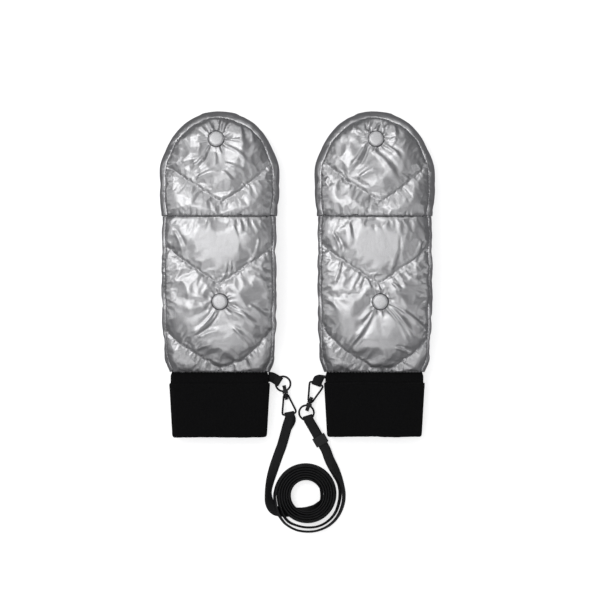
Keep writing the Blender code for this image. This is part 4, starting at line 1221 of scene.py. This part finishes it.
WEB_WIDTH = 0.010
WEB_THICKNESS = 0.0011
FOLD_RADIUS = 0.0017
STITCHED_RADIUS = 0.00075
HARDWARE_Z = 0.005
RING_RADIUS = 0.0074
WIRE_RADIUS = 0.0010
RING_FOLD_INSET = 0.00505
TAB_RING = (-0.0140, -0.1092)
TAB_RING_WEB = (-0.85, 0.53)
LEASH_RING = (0.0095, -0.1382)
LEASH_RING_WEB = (0.30, -0.954)
TAB_ROOT = (0.0490, -0.10215, 0.0090)
TAB_LEVEL_LENGTH = 0.0042
LEFT_TAB_ROUTE = ((-0.0266, -0.1022, 0.0086), (-0.0243, -0.1029, 0.0066))
RIGHT_TAB_ROUTE = ((0.0258, -0.1020, 0.0080), (0.0232, -0.1024, 0.0062))
CLIPS = {"left": ((-0.0115, -0.1192), (0.19, -0.98)), "right": ((0.0127, -0.1284), (0.343, 0.939))}
BAIL_BAR_U = -0.0207
SLIDER_CENTRE = (0.0235, -0.1660)
SLIDER_ANGLE = -60.5
SLIDER_REACH = 0.012
WINDOW_Z = (0.00215, 0.00505)
COIL_CENTRE = (0.0095, -0.2206)
COIL_Z = 0.00665
COIL_PITCH = 0.005
INNER_PITCH = 0.0029
COIL_TUCK = 0.0012
COIL_TUCK_TURN = 45
COIL_LEAN_ROLL = 76
COIL_START_TURN = 197.9
COIL_START_RADIUS = 0.0325
COIL_TURNS = 3.49
TAIL_GAP = 0.0025
TAIL_START_TURN = 237.4
TAIL_TURNS = 2.38
TAIL_LEAD = (TAIL_START_TURN - COIL_START_TURN) / 360
COIL_STEP = 15
BEND_LEAD = 0.003
BAR_LEAD = 0.002
SEWN_END = 0.007
WIDTH_EASE = 8
STRAP_STEP = 0.0016
TAB_STEP = 0.0012
WINDOW_INSET = 0.001
EDGE_ROUND = 0.00035
# Routes as (x, y, z, roll): the leash's right run, its tail, and its left run from the clip.
RIGHT_RUN = (
    (0.0330, -0.1860, 0.00497, 10), (0.0398, -0.1974, 0.0063, 45), (0.0448, -0.2082, 0.0062, 70),
    (0.0470, -0.2195, 0.0056, 72), (0.0460, -0.2305, 0.0053, 72), (0.0413, -0.2418, 0.0053, 74),
    (0.0335, -0.2505, 0.0053, 76), (0.0230, -0.2560, 0.0053, 78), (0.0120, -0.2578, 0.0053, 78),
    (0.0000, -0.2563, 0.0054, 78), (-0.0106, -0.2507, 0.0060, 78), (-0.0168, -0.2434, 0.0067, 77),
    (-0.0202, -0.2364, 0.0069, 76),
)
TAIL_RUN = (
    (0.0323, -0.1850, 0.0021, 8), (0.0380, -0.1985, 0.0042, 45), (0.0420, -0.2090, 0.0051, 70),
    (0.0433, -0.2200, 0.0053, 74), (0.0415, -0.2310, 0.0053, 75), (0.0375, -0.2403, 0.0053, 76),
    (0.0300, -0.2480, 0.0053, 77), (0.0205, -0.2526, 0.0053, 78), (0.0095, -0.2535, 0.0053, 78),
    (0.0000, -0.2516, 0.0055, 78),
)
LEFT_RUN = (
    (-0.0104, -0.1538, 0.0053, 0), (-0.0126, -0.1620, 0.0040, 0), (-0.0155, -0.1720, 0.0022, 0),
    (-0.0192, -0.1820, 0.0014, 4), (-0.0238, -0.1955, 0.0022, 16), (-0.0274, -0.2085, 0.0038, 38),
    (-0.0289, -0.2195, 0.0044, 48), (-0.0272, -0.2300, 0.0028, 24), (-0.0222, -0.2366, 0.0009, 3),
    (-0.0140, -0.2383, 0.00065, 0), (-0.0070, -0.2382, 0.00065, 0),
)
# From the coil's inmost turn down to the table, to pass under the coil.
DROP_RUN = (
    (0.0248, -0.2253, 0.0062, 74), (0.0222, -0.2301, 0.0052, 56), (0.0182, -0.2343, 0.0036, 34),
    (0.0126, -0.2372, 0.0019, 13), (0.0064, -0.2386, 0.0009, 3), (0.0000, -0.2388, 0.0007, 1),
)


def curve_through(points, step):
    """A smooth curve through a route's points, read off about every step."""
    vectors = [np.array(point, float) for point in points]
    padded = [2 * vectors[0] - vectors[1]] + vectors + [2 * vectors[-1] - vectors[-2]]
    curve = []
    for i in range(1, len(padded) - 2):
        a, b, c, d = padded[i - 1:i + 3]
        count = max(1, round(np.linalg.norm(c[:3] - b[:3]) / step))
        for k in range(count):
            t = k / count
            curve.append(0.5 * (2 * b + (c - a) * t + (2 * a - 5 * b + 4 * c - d) * t ** 2
                                + (3 * b - a - 3 * c + d) * t ** 3))
    return curve + [vectors[-1]]


def rolled_widths(curve):
    """The width direction at each point: level at roll 0, with the outward edge low at roll 90."""
    widths = []
    for i, point in enumerate(curve):
        before = Vector(curve[max(0, i - 1)][:3])
        after = Vector(curve[min(len(curve) - 1, i + 1)][:3])
        level = UP.cross(after - before).normalized()
        roll = math.radians(point[3])
        widths.append(level * math.cos(roll) - UP * math.sin(roll))
    return widths


def eased_widths(widths, start, count):
    """Widths that set out from a given direction and take up their own over a few points."""
    shares = [float(smoothstep(i / count)) for i in range(len(widths))]
    return [start.lerp(width, share).normalized() for width, share in zip(widths, shares)]


def fold_points(centre, away, count=9):
    """The bend of a strap round a wire, from under it to over it; the strap leaves along away."""
    turns = [math.pi * (k / (count - 1) - 0.5) for k in range(count)]
    return [centre - away * FOLD_RADIUS * math.cos(t) + UP * FOLD_RADIUS * math.sin(t) for t in turns]


def ribbon(name, centres, widths, finish):
    """A strap with rounded edges along a path, and UVs in metres: across, then along it."""
    places = [Vector(point[:3]) for point in centres]
    w, t, r = WEB_WIDTH / 2, WEB_THICKNESS / 2, EDGE_ROUND
    section = [(-w, -t + r), (-w + r, -t), (-w / 3, -t), (w / 3, -t), (w - r, -t), (w, -t + r),
               (w, t - r), (w - r, t), (w / 3, t), (-w / 3, t), (-w + r, t), (-w, t - r)]
    points, travel = [], [0.0]
    for i, place in enumerate(places):
        along = (places[min(len(places) - 1, i + 1)] - places[max(0, i - 1)]).normalized()
        wide = widths[i].normalized()
        thick = along.cross(wide).normalized()
        points += [place + wide * a + thick * b for a, b in section]
        if i:
            travel.append(travel[-1] + (place - places[i - 1]).length)
    count = len(section)
    faces = grid_faces(len(places), count, wrap_columns=True)
    obj = solid(name, points, faces + end_faces(len(places), count), finish)
    layer = obj.data.uv_layers.new(name="strap")
    for loop in obj.data.loops:
        row, column = divmod(loop.vertex_index, count)
        layer.data[loop.index].uv = (section[column][0], travel[row])
    return obj


def level(direction):
    """A direction on the table, given as (x, y), at unit length."""
    return Vector((*direction[:2], 0)).normalized()


def level_normal(direction):
    return Vector((-direction[1], direction[0], 0)).normalized()


def make_tab(label, bend, away, root_width, bend_width, middle, finish):
    """A loop of webbing from the cuff seam, round a ring or a bar, and back."""
    root = Vector((SIDES[label] * (MITTEN_X - TAB_ROOT[0]), TAB_ROOT[1], TAB_ROOT[2]))
    route = [root, *middle, bend + away * TAB_LEVEL_LENGTH, bend]
    spine = [Vector(point) for point in curve_through(route, TAB_STEP)]
    last = len(spine) - 1
    over, under, widths = [], [], []
    for i, place in enumerate(spine):
        share = min(1.0, i / (last - 4))
        along = (spine[min(last, i + 1)] - spine[max(0, i - 1)]).normalized()
        wide = (root_width * (1 - share) + bend_width * share).normalized()
        lift = along.cross(wide).normalized()
        if lift.z < 0:
            lift = -lift
        eased = float(smoothstep(share))
        lift = lift.lerp(UP, eased).normalized() * (STITCHED_RADIUS + (FOLD_RADIUS - STITCHED_RADIUS) * eased)
        over.append(place + lift)
        under.append(place - lift)
        widths.append(wide)
    bend_points = fold_points(bend, away)
    path = under[:-1] + bend_points + over[-2::-1]
    wides = widths[:-1] + [bend_width] * len(bend_points) + widths[-2::-1]
    placed(ribbon(f"{label}_tab", path, wides, finish), "root", "black_webbing", f"{label}_leash_tab")


def clip_bar(label):
    """The middle of a bail's straight bar, and the level direction from it away from the hook."""
    origin, bailward = CLIPS[label]
    away = level(bailward)
    return Vector((*origin, HARDWARE_Z)) - away * BAIL_BAR_U, away


def make_tabs(finish):
    away = level(TAB_RING_WEB)
    bend = Vector((*TAB_RING, HARDWARE_Z)) + away * RING_FOLD_INSET
    make_tab("left", bend, away, Vector((0, 1, 0)), -level_normal(TAB_RING_WEB), LEFT_TAB_ROUTE, finish)
    bar, away = clip_bar("right")
    make_tab("right", bar, away, UP, -level_normal(CLIPS["right"][1]), RIGHT_TAB_ROUTE, finish)


def slider_line(offset, z):
    turn = math.radians(SLIDER_ANGLE)
    return (SLIDER_CENTRE[0] + offset * math.cos(turn), SLIDER_CENTRE[1] + offset * math.sin(turn), z, 0)


def spiral(start_turn, radius_at, turns):
    """Points clockwise round the coil, on edge and leaning."""
    count = int(round(turns * 360 / COIL_STEP))
    points = []
    for k in range(count + 1):
        turned_by = turns * 360 * k / count
        turn = math.radians(start_turn - turned_by)
        radius = radius_at(turned_by / 360) - COIL_TUCK * float(smoothstep(turned_by / COIL_TUCK_TURN))
        points.append((COIL_CENTRE[0] + radius * math.cos(turn), COIL_CENTRE[1] + radius * math.sin(turn),
                       COIL_Z, COIL_LEAN_ROLL))
    return points


def beside(place, away, distance, z):
    """A route's point a little way from a bend, lying flat at height z."""
    return (*(place + away * distance)[:2], z, 0)


def make_leash(finish):
    """The strap from the slider round the leash ring, through the coil, to the left clip's bail."""
    away = level(LEASH_RING_WEB)
    bend = Vector((*LEASH_RING, HARDWARE_Z)) + away * RING_FOLD_INSET
    bar, bail_away = clip_bar("left")
    low, high = HARDWARE_Z - FOLD_RADIUS, HARDWARE_Z + FOLD_RADIUS
    lower, upper = WINDOW_Z
    beside_tail = TAIL_TURNS + TAIL_LEAD

    def radius_at(turns):
        alone = max(0.0, turns - beside_tail)
        return COIL_START_RADIUS - COIL_PITCH * min(turns, beside_tail) - INNER_PITCH * alone

    coil = spiral(COIL_START_TURN, radius_at, COIL_TURNS)
    left = [(x, y, z, -roll) for x, y, z, roll in reversed(LEFT_RUN)]
    start = LEFT_RUN[0]
    lower_run = curve_through([slider_line(-SLIDER_REACH, lower), beside(bend, away, BEND_LEAD, low)],
                              STRAP_STEP)
    upper_run = curve_through([
        beside(bend, away, BEND_LEAD, high), slider_line(-SLIDER_REACH, upper), slider_line(0, upper),
        slider_line(SLIDER_REACH - WINDOW_INSET, upper), *RIGHT_RUN, *coil, *DROP_RUN, *left,
        beside(bar, bail_away, BAR_LEAD, high)], STRAP_STEP)
    sewn_run = curve_through([
        beside(bar, bail_away, BAR_LEAD, low), beside(bar, bail_away, SEWN_END, bar.z - FOLD_RADIUS * 0.9),
        (start[0], start[1], start[2] - 2 * STITCHED_RADIUS, 0)], STRAP_STEP)
    ring_fold, bail_fold = fold_points(bend, away), fold_points(bar, bail_away)[::-1]
    ring_width, bail_width = level_normal(away), -level_normal(bail_away)
    upper_widths = eased_widths(rolled_widths(upper_run), ring_width, WIDTH_EASE)
    upper_widths = eased_widths(upper_widths[::-1], bail_width, WIDTH_EASE)[::-1]
    widths = ([-w for w in rolled_widths(lower_run)] + [ring_width] * len(ring_fold) + upper_widths
              + [bail_width] * len(bail_fold) + [-w for w in rolled_widths(sewn_run)])
    path = [Vector(p[:3]) for p in [*lower_run, *ring_fold, *upper_run, *bail_fold, *sewn_run]]
    strap = ribbon("leash_strap", path, widths, finish)
    placed(strap, "root", "black_webbing", "leash_strap_left", "leash_strap_coil", "leash_strap_right")


def make_tail(finish):
    """The strap's other end: through the slider's lower window, then laid in beside the coil."""
    lower = WINDOW_Z[0]
    offsets = (-SLIDER_REACH + 0.0003, 0, SLIDER_REACH - WINDOW_INSET)

    def radius_at(turns):
        settled = COIL_START_RADIUS - TAIL_GAP * min(1.0, turns / TAIL_LEAD)
        return settled - COIL_PITCH * max(0.0, turns - TAIL_LEAD)

    coil = spiral(TAIL_START_TURN, radius_at, TAIL_TURNS + TAIL_LEAD)
    run = curve_through([*(slider_line(offset, lower) for offset in offsets), *TAIL_RUN, *coil], STRAP_STEP)
    path = [Vector(p[:3]) for p in run]
    tail = ribbon("leash_tail", path, rolled_widths(run), finish)
    placed(tail, "root", "black_webbing", "leash_strap_tail")


# ---------------------------------------------------------------- rings, clips and slider

def clip_frame(label):
    """X toward the nose of the hook, Y across it and Z up; the barrel's mouth is at the origin."""
    origin, bailward = CLIPS[label]
    nose = -level(bailward)
    rotation = Matrix((nose, UP.cross(nose), UP)).transposed().to_4x4()
    return Matrix.Translation((*origin, HARDWARE_Z)) @ rotation


def make_ring(name, replaced, body, centre, finish):
    profile = [(RING_RADIUS + x, y) for x, y in circle(20, WIRE_RADIUS)]
    here = Matrix.Translation((*centre, HARDWARE_Z))
    placed(solid(name, *turned(profile, here, 72, wrap=True), finish), body, "black_metal", replaced)


def tube(points, radius, sides=14):
    """A round wire along a level polyline, as points and faces, closed at its ends."""
    places = [Vector(p) for p in points]
    out, count = [], len(places)
    for i, place in enumerate(places):
        along = (places[min(count - 1, i + 1)] - places[max(0, i - 1)]).normalized()
        across = UP.cross(along).normalized()
        rise = along.cross(across)
        out += [place + across * a + rise * b for a, b in circle(sides, radius)]
    return out, grid_faces(count, sides, wrap_columns=True) + end_faces(count, sides)


def rounded_corners(points, rounds=3):
    """A polyline with its corners cut, again and again, into soft bends."""
    line = [np.array(p, float) for p in points]
    for _ in range(rounds):
        cut = [line[0]]
        for a, b in zip(line, line[1:]):
            cut += [a * 0.78 + b * 0.22, a * 0.22 + b * 0.78]
        line = cut + [line[-1]]
    return line


# The barrel's section as (radius, height) in millimetres, and half the bail as (u, v) in metres.
BARREL_PROFILE = ((1.5, -4.5), (2.2, -4.5), (2.6, -4.2), (2.7, -3.8), (2.7, -3.4), (2.4, -3.2), (2.4, -2.9),
                  (2.7, -2.7), (2.7, -0.6), (2.5, -0.2), (2.2, 0.0), (1.5, 0.0))
BAIL_OUTLINE = ((-0.0019, 0.0023), (-0.0100, 0.0045), (-0.0172, 0.0066), (-0.0196, 0.0069), (-0.0207, 0.0057),
                (-0.0207, 0.0030))


def make_bail(label, finish):
    """The swivel barrel with its triangle of wire."""
    here = clip_frame(label)
    half = [(u, v, 0) for u, v in BAIL_OUTLINE]
    outline = half + [(u, -v, 0) for u, v, _ in reversed(half)]
    points, faces = tube([here @ Vector(p) for p in rounded_corners(outline)], WIRE_RADIUS)
    turn = here @ Matrix.Rotation(math.radians(90), 4, "Y")
    barrel_points, barrel_faces = turned(BARREL_PROFILE, turn, 40, MM, wrap=True)
    faces += renumbered(barrel_faces, len(points))
    bail = solid(f"{label}_bail", points + barrel_points, faces, finish)
    placed(bail, "root", "black_metal", f"{label}_clip_bail")


def finish_cad_node(name, finish, bevel=0):
    """A hard CAD part that stays: softened edges, smooth faces and its own finish."""
    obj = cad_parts[name]
    obj.data.materials.clear()
    obj.data.materials.append(finish)
    if bevel:
        edge = obj.modifiers.new("edge", "BEVEL")
        edge.width = bevel
        edge.segments = 2
        edge.limit_method = "ANGLE"
        edge.angle_limit = math.radians(35)
        edge.harden_normals = True
    obj.data.polygons.foreach_set("use_smooth", [True] * len(obj.data.polygons))


def finish_cad_nodes(finishes):
    for label in SIDES:
        for part in ("hook", "gate"):
            finish_cad_node(f"{label}_clip_{part}", finishes["black_metal"], 0.00022)
        for part in ("gate_pin", "gate_spring"):
            finish_cad_node(f"{label}_clip_{part}", finishes["steel"])
        for part in PARTS:
            for piece, finish in (("magnet", "magnet"), ("rivet", "steel"), ("backplate", "steel")):
                finish_cad_node(f"{label}_{part}_snap_{piece}", finishes[finish])
    finish_cad_node("leash_slider", finishes["black_metal"], 0.0006)


# ---------------------------------------------------------------- floor and lights

FLOOR_REACH = 4.0
FLOOR_Z = -0.0004
WORLD_COLOR = (0.13, 0.13, 0.135, 1)
# Soft boxes, aimed at the origin: name, place, size and power in watts.
LIGHTS = (
    ("overhead", (-0.5, 0.4, 3.4), (1.9, 1.9), 19),
    ("key", (-1.3, 1.0, 2.6), (0.9, 1.2), 15),
    ("low_left", (-2.4, 0.3, 0.8), (0.6, 2.0), 5),
    ("fill_top", (0.2, 2.4, 1.6), (2.4, 1.4), 10),
    ("fill_front", (-0.3, -2.2, 2.4), (2.2, 1.6), 13),
    ("fill_right", (2.4, -0.6, 1.8), (0.4, 2.2), 6),
)


def make_floor():
    """A plain pale floor. Its reflection would wash out the sides, so glossy rays pass it by."""
    material, principled = shader("floor_white", (0.93, 0.93, 0.93), 0.9, Emission_Strength=0.66)
    principled.inputs["Emission Color"].default_value = (1, 1, 1, 1)
    grain = noise(material, object_point(material), 300.0, 2.0)
    wire_up(material, tinted(material, grain, (0.92, 0.92, 0.92), (0.94, 0.94, 0.94)),
            principled.inputs["Base Color"])
    corners = [(x * FLOOR_REACH, y * FLOOR_REACH, FLOOR_Z) for x, y in ((-1, -1), (1, -1), (1, 1), (-1, 1))]
    floor = mesh_object("floor", corners, [(0, 1, 2, 3)], material, smooth=False)
    floor.visible_glossy = False


def softbox(name, place, size, power):
    data = bpy.data.lights.new(name, "AREA")
    data.shape = "RECTANGLE"
    data.size, data.size_y = size
    data.energy = power
    light = link(bpy.data.objects.new(name, data))
    light.location = place
    light.rotation_euler = (-Vector(place)).to_track_quat("-Z", "Y").to_euler()


def make_lights():
    world = bpy.data.worlds.new("studio")
    world.use_nodes = True
    world.node_tree.nodes["Background"].inputs["Color"].default_value = WORLD_COLOR
    bpy.context.scene.world = world
    for light in LIGHTS:
        softbox(*light)
    bpy.context.scene.view_settings.view_transform = "Standard"


# ---------------------------------------------------------------- the whole

def main():
    make_camera()
    finishes = make_finishes()
    make_leash(finishes["black_webbing"])
    make_tail(finishes["black_webbing"])
    make_tabs(finishes["black_webbing"])
    make_ring("left_ring_wire", "left_tab_ring", "left_ring", TAB_RING, finishes["black_metal"])
    make_ring("leash_ring_wire", "leash_ring", "leash_ring", LEASH_RING, finishes["black_metal"])
    for label, side in SIDES.items():
        centre = side * MITTEN_X
        make_bail(label, finishes["black_metal"])
        make_cuff(label, centre, finishes["black_knit"])
        make_sleeve(label, centre, finishes["black_knit"])
        for part in PARTS:
            make_lining(label, part, centre, finishes["lining"])
        make_thumb(label, side, finishes["silver_fabric"])
        for part in PARTS:
            make_snap(label, part, finishes)
    make_quilts(finishes)
    for label, side in SIDES.items():
        make_hinge_fabric(label, side * MITTEN_X, finishes["silver_fabric"])
    finish_cad_nodes(finishes)
    make_floor()
    make_lights()


main()
